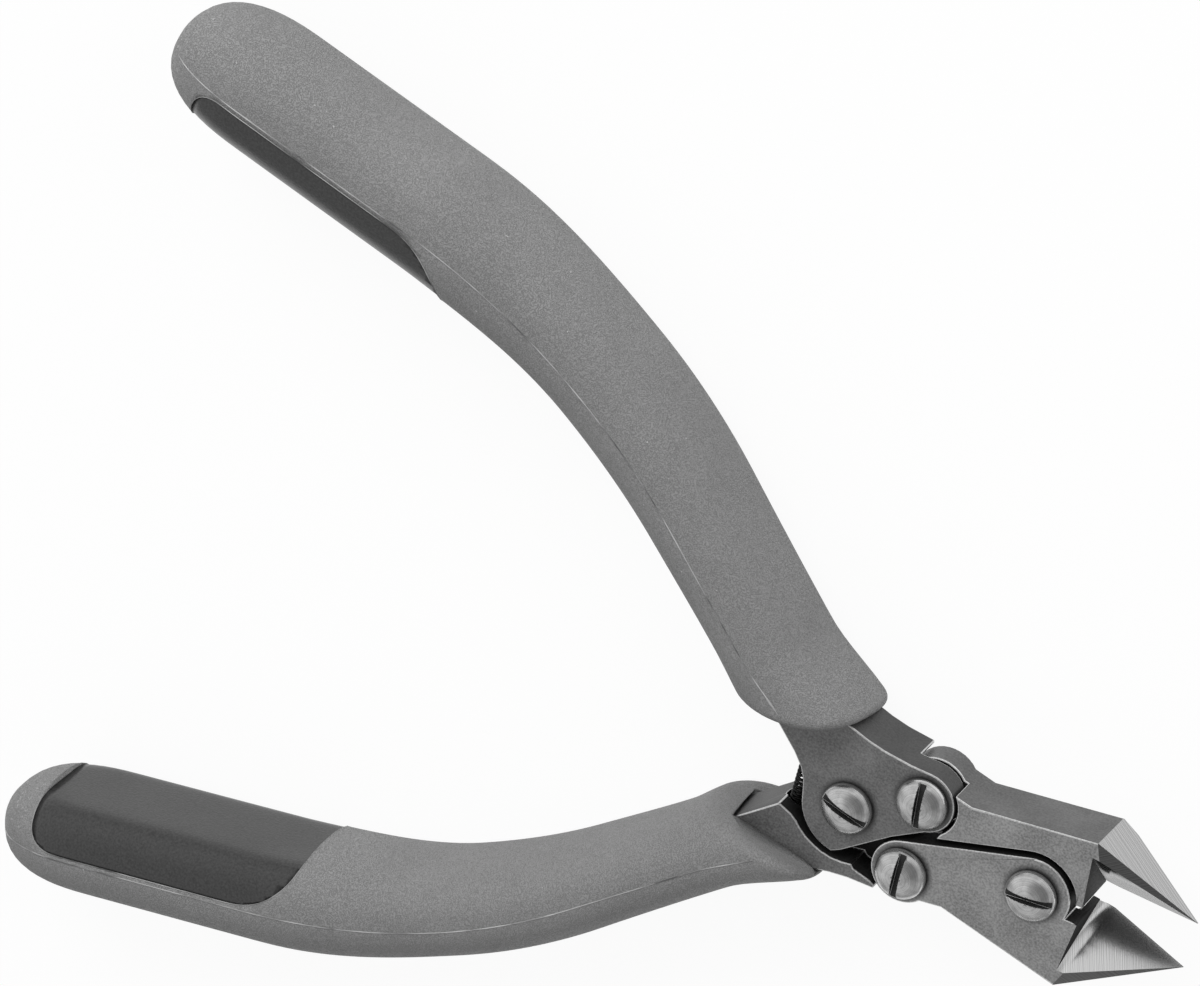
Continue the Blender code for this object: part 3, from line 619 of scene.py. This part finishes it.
def make_screw(place, body, slot_turn):
    """Turned head on a plain shank, with its slot."""
    low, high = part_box(f"{place}_screw")
    centre = (low + high) / 2
    radius = (high.x - low.x) / 2
    top, bottom = high.z - centre.z, low.z - centre.z
    profile = []
    for i in range(DOME_STEPS + 1):
        out = math.sin(math.pi / 2 * i / DOME_STEPS)
        fall = 1 - (1 - out ** DOME_POWER) ** (1 / DOME_POWER)
        profile.append((radius * out, top - DOME_DROP * fall))
    seat = top - HEAD_HEIGHT
    profile += [(radius, seat), (SHANK_RADIUS, seat), (SHANK_RADIUS, bottom), (0, bottom)]
    maker = bmesh.new()
    corners = [maker.verts.new((out, 0, z)) for out, z in profile]
    edges = [maker.edges.new(pair) for pair in zip(corners, corners[1:])]
    bmesh.ops.spin(maker, geom=corners + edges, cent=(0, 0, 0), axis=(0, 0, 1),
                   angle=2 * math.pi, steps=TURN_STEPS, use_duplicate=False)
    bmesh.ops.remove_doubles(maker, verts=maker.verts, dist=WELD)
    screw = new_piece(f"{place}_screw_turned", maker, screw_steel)
    half, run = SLOT_WIDTH / 2, 2 * radius
    box = prism([(-run, -half), (run, -half), (run, half), (-run, half)], top - SLOT_DEPTH, 2 * top)
    bmesh.ops.rotate(box, verts=box.verts, matrix=Matrix.Rotation(math.radians(slot_turn), 3, "Z"))
    carve(screw, new_piece("slot", box, slot_grime))
    soften(screw, HEAD_ROUND, 2)
    screw.location = centre
    bpy.context.view_layer.update()
    dress(screw, f"{place}_screw", body)
    return screw


for place, body, slot_turn in SCREWS:
    screw = make_screw(place, body, slot_turn)
    print(screw.name, "radius mm", round(screw.dimensions.x / 2 / MM, 2))

# %% [markdown]
# ## Grip finishes
# The soft sleeve is a rubber with a fine pebble from its mould, a few pale specks and scuffs at the
# tail. The hard core is a darker satin plastic. Pebbles are under half a millimetre, so tone and
# relief in the material carry them, and the mesh stays light. Their grooves are darker in colour,
# which is painted shade with some dirt.

# %% Rubber and plastic
PEBBLE_DEPTH = 0.04 * MM
SPECK_RANGE = (0.8, 0.83)
SCUFF_RANGE = (0.6, 0.7)
SCUFF_REACH = 7 * MM
SCUFF_SHARE = 0.8
PALE = 0.45


def make_rubber():
    """Pebbled grey rubber with specks and scuffs, darker in the grooves: painted shade with some dirt.
    """
    material, tree, shader = new_finish("sleeve_rubber", 0.0, 0.35)
    pads = use_group(tree, pebble, Scale=4600.0, Groove=0.07).outputs["Pads"]
    marks = use_group(tree, mottle, Stain_Scale=90.0)
    stain = math_node(tree, "MULTIPLY", marks.outputs["Stain"], 0.2)
    # Grooves between the pads are darker in colour: painted shade, with some dirt
    tone = math_node(tree, "MULTIPLY_ADD", pads, 0.8, stain)
    plain = mix_colour(tree, tone, 0.155, 0.25)
    place = add(tree, "TexCoord").outputs["Object"]
    dust = add(tree, "TexNoise", Vector=place, Scale=2200.0, Detail=1.0)
    specks = spread(tree, dust.outputs["Fac"], *SPECK_RANGE)
    scuff = add(tree, "TexNoise", Vector=place, Scale=2600.0, Detail=3.0)
    along = add(tree, "SeparateXYZ", Vector=place).outputs["X"]
    near_tail = spread(tree, along, cad_box[0].x + SCUFF_REACH, cad_box[0].x)
    scuffed = spread(tree, scuff.outputs["Fac"], *SCUFF_RANGE)
    scuffed = math_node(tree, "MULTIPLY", scuffed, near_tail)
    pale = math_node(tree, "MAXIMUM", specks, math_node(tree, "MULTIPLY", scuffed, SCUFF_SHARE))
    tree.links.new(mix_colour(tree, pale, plain, PALE), shader.inputs["Base Color"])
    tree.links.new(spread(tree, pads, 0.0, 1.0, 0.8, 0.6), shader.inputs["Roughness"])
    relief(tree, shader, pads, PEBBLE_DEPTH)
    return material


def make_plastic(name, dark, light, rough_low, rough_high):
    """Moulded plastic with a fine grain."""
    material, tree, shader = new_finish(name, 0.0, 0.5)
    marks = use_group(tree, mottle, Stain_Scale=160.0, Grain_Scale=4200.0)
    tree.links.new(mix_colour(tree, marks.outputs["Grain"], dark, light), shader.inputs["Base Color"])
    rough = spread(tree, marks.outputs["Stain"], 0.0, 1.0, rough_low, rough_high)
    tree.links.new(rough, shader.inputs["Roughness"])
    relief(tree, shader, marks.outputs["Grain"], GRAIN_DEPTH)
    return material


def make_seam_finish():
    """Thin rubber edge, pale where it is rubbed and dark in other stretches, which is a painted shadow
    line.
    """
    material, tree, shader = new_finish("seam_rubber", 0.0, 0.3)
    marks = use_group(tree, mottle, Stain_Scale=220.0)
    # Pale stretches are rubbed rubber, dark stretches a painted shadow line beside the ridge
    tree.links.new(mix_colour(tree, marks.outputs["Stain"], 0.1, PALE), shader.inputs["Base Color"])
    shader.inputs["Roughness"].default_value = 0.7
    return material


sleeve_rubber = make_rubber()
core_plastic = make_plastic("core_plastic", 0.018, 0.04, 0.28, 0.36)
seam_rubber = make_seam_finish()
print("grip finishes:", sleeve_rubber.name, core_plastic.name, seam_rubber.name)

# %% [markdown]
# ## Grips
# A grip is a hard core with a soft sleeve moulded over it. Each is a row of rounded sections along a
# bent middle line, which is called a loft. The sections are the frame's own, drawn finer. The window
# in the sleeve and the room for the lever are cut out afterwards. The core fills the window a little
# below the sleeve's surface, and its inner face there is flat with a soft edge.

# %% The grip's middle line and sections
# Angles are in degrees. A START or an END is a place along the grip, from the handle pivot.
LEG_ANGLE = 43.1
LEG_LENGTH = 33.5 * MM
BEND_RADIUS = 74.6 * MM
TAIL_ANGLE = 12.7
TAIL_LENGTH = 32.0 * MM
HALF_THICK = 7.7 * MM
MOUTH_START = 10.6 * MM
NECK_START = 18.5 * MM
SKEW_END = 32.4 * MM
MIDDLE_START = 49.6 * MM
SWELL_START = 70.7 * MM
HALVES = (
    (MOUTH_START, 5.5 * MM),
    (NECK_START, 4.3 * MM),
    (MIDDLE_START, 5.0 * MM),
    (SWELL_START, 6.2 * MM),
)
SHIFTS = (
    (MOUTH_START, 0.85 * MM),
    (NECK_START, 0.2 * MM),
    (MIDDLE_START, 0.2 * MM),
    (SWELL_START, 0.15 * MM),
)
SKEWS = ((MOUTH_START, 0.78), (SKEW_END, 0.0))
TILTS = ((MOUTH_START, 0.13), (SKEW_END, 0.0))
CURVES = ((MOUTH_START, 1.0 * MM), (SKEW_END, 0.0))
TAIL_ROUND = 11.8 * MM
TAIL_POWER = 2.6
LIP = 1.3 * MM
LIP_RINGS = 8
SLEEVE_POWER = 2.4
CORE_POWER = 3.0
FLAT_ROUND = 0.28 * MM
RING_SIDES = 72
RING_STEP = 1.2 * MM
TAIL_RINGS = 14
BEND = math.radians(LEG_ANGLE - TAIL_ANGLE)
GRIP_END = LEG_LENGTH + BEND_RADIUS * BEND + TAIL_LENGTH


def grip_point(along, across):
    """Point in the drawing plane along and across the upper grip's middle line, from the pivot."""
    leg, tail = math.radians(180 - LEG_ANGLE), math.radians(180 - TAIL_ANGLE)
    turn = leg
    base = Vector((math.cos(leg), math.sin(leg))) * min(along, LEG_LENGTH)
    if along > LEG_LENGTH:
        centre = base + Vector((-math.sin(leg), math.cos(leg))) * BEND_RADIUS
        turn = min(leg + (along - LEG_LENGTH) / BEND_RADIUS, tail)
        base = centre + Vector((math.sin(turn), -math.cos(turn))) * BEND_RADIUS
        past = max(0.0, along - LEG_LENGTH - BEND_RADIUS * BEND)
        base += Vector((math.cos(tail), math.sin(tail))) * past
    return base + Vector((math.sin(turn), -math.cos(turn))) * across


def blend(along, stops):
    """Smooth value between stops given as (distance, value)."""
    if along <= stops[0][0]:
        return stops[0][1]
    for (start, low), (end, high) in zip(stops, stops[1:]):
        if along <= end:
            share = (along - start) / (end - start)
            return low + (high - low) * share * share * (3 - 2 * share)
    return stops[-1][1]


def on_grip(along, across, height, side):
    """World point of a grip from its place along, across and through it."""
    lag = blend(along, CURVES) * ((across - blend(along, SHIFTS)) / blend(along, HALVES)) ** 2
    slant = side * blend(along, TILTS) * height - blend(along, SKEWS) * across
    flat = grip_point(along + slant + lag, across)
    return HANDLE_PIVOT + Vector((flat.x, side * flat.y, height))


def section(along, inset, end):
    """Half width, half height and middle of the grip's section. An inset is for each of the two."""
    past = max(0.0, min(1.0, (along - (end - TAIL_ROUND)) / TAIL_ROUND))
    taper = (1 - past ** TAIL_POWER) ** (1 / TAIL_POWER)
    half = (blend(along, HALVES) - inset[0]) * taper
    return half, (HALF_THICK - inset[1]) * taper, blend(along, SHIFTS)


def flattened(across, flat):
    """Place across the grip, held back softly at a flat inner face."""
    past = across + flat
    return (past + math.hypot(past, FLAT_ROUND)) / 2 - flat


def ring(along, inset, power, side, end, flat, sides):
    """Points round one section, with a flat inner face if asked for."""
    half, tall, shift = section(along, inset, end)
    points = []
    for i in range(sides):
        turn = 2 * math.pi * (i + 0.5) / sides
        wide, high = math.cos(turn), math.sin(turn)
        across = half * math.copysign(abs(wide) ** (2 / power), wide) + shift
        across = flattened(across, flat) if flat else across
        height = tall * math.copysign(abs(high) ** (2 / power), high)
        points.append(on_grip(along, across, height, side))
    return points


def stations(start, end):
    """Places of the sections, closer together at the round tail."""
    straight = end - TAIL_ROUND - start
    count = round(straight / RING_STEP)
    places = [start + straight * i / count for i in range(count + 1)]
    for i in range(1, TAIL_RINGS + 1):
        places.append(end - TAIL_ROUND * (1 - math.sin(math.pi / 2 * i / (TAIL_RINGS + 0.5))))
    return places


def loft(name, start, end, inset, power, side, material, lip=0.0, flat=0.0, sides=RING_SIDES):
    """Closed grip shape, with a rounded lip at its mouth or a flat inner face if asked for."""
    rings = []
    for i in range(LIP_RINGS if lip else 0):
        turn = math.pi / 2 * (1 - i / LIP_RINGS)
        narrowed = [value + lip * (1 - math.cos(turn)) for value in inset]
        rings.append(ring(start + lip * (1 - math.sin(turn)), narrowed, power, side, end, flat, sides))
    rings += [ring(along, inset, power, side, end, flat, sides) for along in stations(start + lip, end)]
    maker = bmesh.new()
    rows = [[maker.verts.new(point) for point in points] for points in rings]
    for near, far in zip(rows, rows[1:]):
        for i in range(sides):
            j = (i + 1) % sides
            maker.faces.new((near[i], near[j], far[j], far[i]))
    maker.faces.new(rows[0])
    maker.faces.new(rows[-1])
    return new_piece(name, maker, material)


print("grip length mm:", round(GRIP_END / MM, 1))

# %% Sleeve and core
WALL = 1.2 * MM
FIT_GAP = 0.3 * MM
NO_INSET = (0.0, 0.0)
CORE_START = 17.0 * MM
# The pad is the part of the core that shows in the window
PAD_INSET = (0.1 * MM, 0.08 * MM)
PAD_FLAT = 5.0 * MM
PAD_SIDES = 150
PAD_GAP = 0.04 * MM
TANG_END = 58.0 * MM
TANG_HALF = 1.8 * MM
TANG_TAPER = 18.0 * MM
TANG_STEPS = 6
SHANK_INNER = 2.5 * MM
SHANK_OUTER = 4.9 * MM
SHANK_CORNER = 7.6 * MM
LEVER_BACK_END = (0.0, 8.15 * MM)
WINDOW_START = 66.3 * MM
WINDOW_END = GRIP_END - 5.8 * MM
WINDOW_SLANT = 5.5 * MM
WINDOW_LIP = 4.5 * MM
WINDOW_CORNER = 3.2 * MM
CORNER_POINTS = 10
BEYOND = 13 * MM


def rounded(corners, reach):
    """A line with its inner corners rounded."""
    points = [Vector(corners[0])]
    for before, corner, after in zip(corners, corners[1:], corners[2:]):
        here = Vector(corner)
        back, ahead = Vector(before) - here, Vector(after) - here
        start = here + back.normalized() * min(reach, back.length / 2)
        end = here + ahead.normalized() * min(reach, ahead.length / 2)
        for i in range(CORNER_POINTS):
            share = i / (CORNER_POINTS - 1)
            points.append(start.lerp(here, share).lerp(here.lerp(end, share), share))
    return points + [Vector(corners[-1])]


def window_line(gap):
    """Edge of the window as places along and across the grip."""
    start, end = WINDOW_START + gap, WINDOW_END - gap
    corners = [(start, -BEYOND), (start, -WINDOW_LIP), (start + WINDOW_SLANT, -gap)]
    corners += [(end, -gap), (end, -BEYOND)]
    return rounded(corners, WINDOW_CORNER)


def through_grip(spots, side, reach):
    """Upright block on places in the drawing plane, as high as its reach on both sides."""
    outline = [(HANDLE_PIVOT.x + x, HANDLE_PIVOT.y + side * y) for x, y in spots]
    return prism(outline, HANDLE_PIVOT.z - reach, HANDLE_PIVOT.z + reach)


def window_block(side, gap):
    """Solid that fills the window right through the grip."""
    return through_grip([grip_point(*spot) for spot in window_line(gap)], side, BEYOND)


def tang_edge(across):
    """One edge of the room for the tang, from its narrow end of the shank."""
    run = TANG_END + FIT_GAP - TANG_TAPER
    return [grip_point(TANG_TAPER + run * i / TANG_STEPS, across) for i in range(TANG_STEPS + 1)]


def tang_room(side):
    """Room for shank and tang inside the grip."""
    spots = tang_edge(-TANG_HALF - FIT_GAP)[::-1]
    spots += [grip_point(TANG_TAPER - SHANK_INNER, -SHANK_INNER - FIT_GAP)]
    spots += [grip_point(0, -SHANK_INNER - FIT_GAP)]
    spots += [Vector(LEVER_BACK_END) + Vector((FIT_GAP, FIT_GAP))]
    spots += [grip_point(SHANK_CORNER + FIT_GAP, SHANK_OUTER + FIT_GAP)]
    spots += tang_edge(TANG_HALF + FIT_GAP)
    return through_grip(spots, side, PLATE_HALF + FIT_GAP)


def make_grip(word, side):
    """Core and sleeve of one handle."""
    wall, room_wall = (WALL, WALL), (WALL - FIT_GAP, WALL - FIT_GAP)
    hidden_end = GRIP_END - WALL
    core = loft(f"{word}_core_bare", CORE_START, GRIP_END, PAD_INSET, SLEEVE_POWER, side, core_plastic,
                flat=PAD_FLAT, sides=PAD_SIDES)
    carve(core, new_piece("window", window_block(side, PAD_GAP), core_plastic), "INTERSECT")
    hidden = loft("hidden", CORE_START, hidden_end, wall, CORE_POWER, side, core_plastic)
    carve(core, hidden, "UNION")
    carve(core, new_piece("tang", tang_room(side), core_plastic))
    sleeve = loft(f"{word}_sleeve_soft", MOUTH_START, GRIP_END, NO_INSET, SLEEVE_POWER, side,
                  sleeve_rubber, lip=LIP)
    room = loft("room", CORE_START - FIT_GAP, hidden_end + FIT_GAP, room_wall, CORE_POWER, side,
                sleeve_rubber)
    carve(sleeve, room)
    carve(sleeve, new_piece("tang", tang_room(side), sleeve_rubber))
    carve(sleeve, new_piece("window", window_block(side, 0.0), sleeve_rubber))
    dress(core, f"{word}_grip_core", f"{word}_handle")
    dress(sleeve, f"{word}_grip_sleeve", f"{word}_handle")
    return core, sleeve


for word, side in (("upper", 1), ("lower", -1)):
    core, sleeve = make_grip(word, side)
    print(word, "grip faces:", len(core.data.polygons), len(sleeve.data.polygons))

# %% [markdown]
# ## Seams and window rims
# Where the two halves of the mould met, a hair of rubber stands up along the sleeve's crown. A thin
# tube on the surface makes it, thicker here and there, most of all near the mouth. The edge of the
# window gets a line of the same kind, because a moulded edge is rubbed pale. Both lines are pale in
# stretches and dark in others, and the dark stretches are a painted shadow line.

# %% Seam lines
SEAM_RADIUS = 0.06 * MM
SEAM_STEP = 0.8 * MM
# The seam's place off the middle, as a share of the half width
SEAM_OFF = 0.35 / 6
# Two beats that don't fit each other make the seam thicker now and then
FLAW_BEATS = (37.0, 11.3)
FLAW_POWER = 3
FLAW_SIZE = 0.5
MOUTH_FLAW_SIZE = 1.8
MOUTH_PARTS = 14
RIM_RADIUS = 0.045 * MM
RIM_STEP = 0.6 * MM
RIM_REACH = 0.95
LEAST_HALF = 0.01 * MM


def surface_point(along, across, side, face):
    """World point on the front (face 1) or back (face -1) of a sleeve."""
    half, tall, shift = section(along, NO_INSET, GRIP_END)
    wide = min(1.0, abs(across - shift) / max(half, LEAST_HALF))
    height = tall * (1 - wide ** SLEEVE_POWER) ** (1 / SLEEVE_POWER)
    return on_grip(along, across, face * height, side)


def make_seam(word, side, face):
    """Seam along the crown of one side of a sleeve."""
    first, last = MOUTH_START + LIP, GRIP_END - LIP
    count = round((last - first) / SEAM_STEP)
    points, radii = [], []
    for i in range(count + 1):
        along = first + (last - first) * i / count
        half, _, shift = section(along, NO_INSET, GRIP_END)
        points.append(surface_point(along, shift + SEAM_OFF * half, side, face))
        beat = math.sin(FLAW_BEATS[0] * i) * math.sin(FLAW_BEATS[1] * i + side)
        size = MOUTH_FLAW_SIZE if i < count / MOUTH_PARTS else FLAW_SIZE
        radii.append(SEAM_RADIUS * (1.0 + size * max(0.0, beat) ** FLAW_POWER))
    return tube(f"{word}_seam_{'front' if face > 0 else 'back'}", points, radii, seam_rubber)


def make_rim(word, side, face):
    """Pale line along the edge of the window on one side of a sleeve."""
    spots = []
    edge = window_line(0.0)
    for near, far in zip(edge, edge[1:]):
        parts = max(1, round((far - near).length / RIM_STEP))
        spots += [near.lerp(far, i / parts) for i in range(parts)]
    points = []
    for along, across in spots:
        half, _, shift = section(along, NO_INSET, GRIP_END)
        if abs(across - shift) < RIM_REACH * half:
            points.append(surface_point(along, across, side, face))
    radii = [RIM_RADIUS] * len(points)
    return tube(f"{word}_rim_{'front' if face > 0 else 'back'}", points, radii, seam_rubber)


for word, side in (("upper", 1), ("lower", -1)):
    for face in (1, -1):
        for line in (make_seam(word, side, face), make_rim(word, side, face)):
            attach(line, f"{word}_handle")
            print(line.name)

# %% [markdown]
# ## Return spring
# A coil of thin wire sits in a pocket of each lever and pushes the handles apart. It is drawn as one
# curve with a round bevel and then made into a mesh, because the frame can only shorten a mesh.

# %% Coil
WIRE_RADIUS = 0.15 * MM
COIL_PITCH = 0.5 * MM
CURL_POINTS = 24


def make_spring():
    """Coil along Y inside the box of the frame's own spring."""
    low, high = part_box("return_spring")
    middle = (low + high) / 2
    radius = (high.x - low.x) / 2 - WIRE_RADIUS
    reach = (high.y - low.y) / 2 - WIRE_RADIUS
    count = round(2 * reach / COIL_PITCH) * CURL_POINTS
    points = []
    for i in range(count + 1):
        turn = 2 * math.pi * i / CURL_POINTS
        rise = reach * (2 * i / count - 1)
        points.append(middle + Vector((radius * math.cos(turn), rise, radius * math.sin(turn))))
    coil = tube("coil", points, [WIRE_RADIUS] * len(points), spring_steel)
    bpy.context.view_layer.update()
    shown = coil.evaluated_get(bpy.context.evaluated_depsgraph_get())
    spring = bpy.data.objects.new("return_spring_coil", bpy.data.meshes.new_from_object(shown))
    spring.data.shade_smooth()
    bpy.data.objects.remove(coil)
    bpy.context.scene.collection.objects.link(spring)
    dress(spring, "return_spring", "lower_handle")
    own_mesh(spring)


make_spring()

# %% [markdown]
# ## Studio
# The tool lies on a pale floor under a soft white tent. Metal shows what surrounds it, so the tent
# isn't even: it is brightest behind the upper handle, and dimmer at its foot and in an opening
# above. The floor looks white to the camera and in the metal, and still keeps a soft shadow. Two
# large lamps shape the grips. They don't show in the metal.

# %% Floor, tent and lamps
TENT_TOP = Vector((-0.4, 0.68, 0.62)).normalized()
TENT_OPENING = Vector((0.25, 0.1, 0.963)).normalized()
# Each of these says from which range to which range a value is stretched
TENT_LEVEL = (-0.6, 0.9, 0.5, 0.95)
OPENING_SHADE = (0.74, 0.92, 1.0, 0.35)
TENT_FOOT = (0.0, 0.3, 0.5, 1.0)
FLOOR_HALF = 3.0
FLOOR_TONE = 0.9
FLOOR_ROUGH = 0.9
FLOOR_GLOW = 0.93
# Name, place and size in metres, and power in watts
LAMPS = (("key_lamp", (-0.36, 0.66, 0.5), 0.5, 4.2), ("rim_lamp", (0.5, 0.6, 0.35), 0.4, 1.2))


def make_floor():
    """Large pale floor, white to the camera and in the metal, apart from the shadow."""
    maker = bmesh.new()
    bmesh.ops.create_grid(maker, x_segments=1, y_segments=1, size=FLOOR_HALF)
    material, tree, shader = new_finish("floor_paper", 0.0)
    shader.inputs["Base Color"].default_value = grey(FLOOR_TONE)
    shader.inputs["Roughness"].default_value = FLOOR_ROUGH
    glow = add(tree, "Emission", Color=grey(1.0), Strength=1.0)
    path = tree.nodes.new("ShaderNodeLightPath")
    seen = math_node(tree, "MAXIMUM", path.outputs["Is Camera Ray"], path.outputs["Is Glossy Ray"])
    seen = math_node(tree, "MAXIMUM", seen, path.outputs["Is Transmission Ray"])
    share = math_node(tree, "MULTIPLY", seen, FLOOR_GLOW)
    mix = tree.nodes.new("ShaderNodeMixShader")
    tree.links.new(share, mix.inputs[0])
    tree.links.new(shader.outputs["BSDF"], mix.inputs[1])
    tree.links.new(glow.outputs["Emission"], mix.inputs[2])
    tree.links.new(mix.outputs["Shader"], tree.nodes["Material Output"].inputs["Surface"])
    floor = new_piece("floor", maker, material)
    floor.location.z = cad_box[0].z


def make_tent():
    """Soft surroundings: brightest behind the upper handle, dim at the foot and in an opening above."""
    world = bpy.data.worlds.new("tent")
    world.use_nodes = True
    tree = world.node_tree
    place = add(tree, "TexCoord").outputs["Generated"]
    level = spread(tree, dot(tree, place, TENT_TOP), *TENT_LEVEL)
    shade = spread(tree, dot(tree, place, TENT_OPENING), *OPENING_SHADE)
    height = add(tree, "SeparateXYZ", Vector=place).outputs["Z"]
    foot = spread(tree, height, *TENT_FOOT)
    strength = math_node(tree, "MULTIPLY", math_node(tree, "MULTIPLY", level, shade), foot)
    shader = tree.nodes["Background"]
    shader.inputs["Color"].default_value = grey(1.0)
    tree.links.new(strength, shader.inputs["Strength"])
    bpy.context.scene.world = world


def make_lamp(name, place, size, power):
    """Soft square lamp that faces the tool."""
    data = bpy.data.lights.new(name, "AREA")
    data.size = size
    data.energy = power
    lamp = bpy.data.objects.new(name, data)
    lamp.location = place
    lamp.rotation_euler = (-Vector(place)).to_track_quat("-Z", "Y").to_euler()
    lamp.visible_glossy = False
    bpy.context.scene.collection.objects.link(lamp)


make_floor()
make_tent()
for lamp in LAMPS:
    make_lamp(*lamp)
bpy.context.scene.view_settings.view_transform = "Standard"
print("lamps:", [lamp[0] for lamp in LAMPS])

# %% [markdown]
# ## Camera
# A long lens from two thirds of a metre away, above the tool and on the side of its upper handle. A
# camera in Blender looks along its own -Z with +Y up, so its right, up and back directions are
# written out and become the three columns of its matrix.

# %% Camera
VIEW_RIGHT = Vector((0.86869, 0.22307, -0.44229)).normalized()
VIEW_UP = Vector((-0.4052, 0.83358, -0.37543)).normalized()
VIEW_BACK = Vector((0.28494, 0.50535, 0.81451)).normalized()
VIEW_DISTANCE = 0.65746
AIM_LEFT = 24.825 * MM
AIM_UP = 31.374 * MM
LENS = 197.24
SENSOR = 36.0
VIEW_END = 20.0
aim = HANDLE_PIVOT + Vector((0, 0, PLATE_HALF)) - AIM_LEFT * VIEW_RIGHT + AIM_UP * VIEW_UP
lens = bpy.data.cameras.new("photo_camera")
lens.lens = LENS
lens.sensor_width = SENSOR
lens.clip_end = VIEW_END
camera = bpy.data.objects.new("photo_camera", lens)
axes = Matrix((VIEW_RIGHT, VIEW_UP, VIEW_BACK)).transposed().to_4x4()
camera.matrix_world = Matrix.Translation(aim + VIEW_DISTANCE * VIEW_BACK) @ axes
bpy.context.scene.collection.objects.link(camera)
bpy.context.scene.camera = camera
print("camera at", [round(value, 3) for value in camera.location])
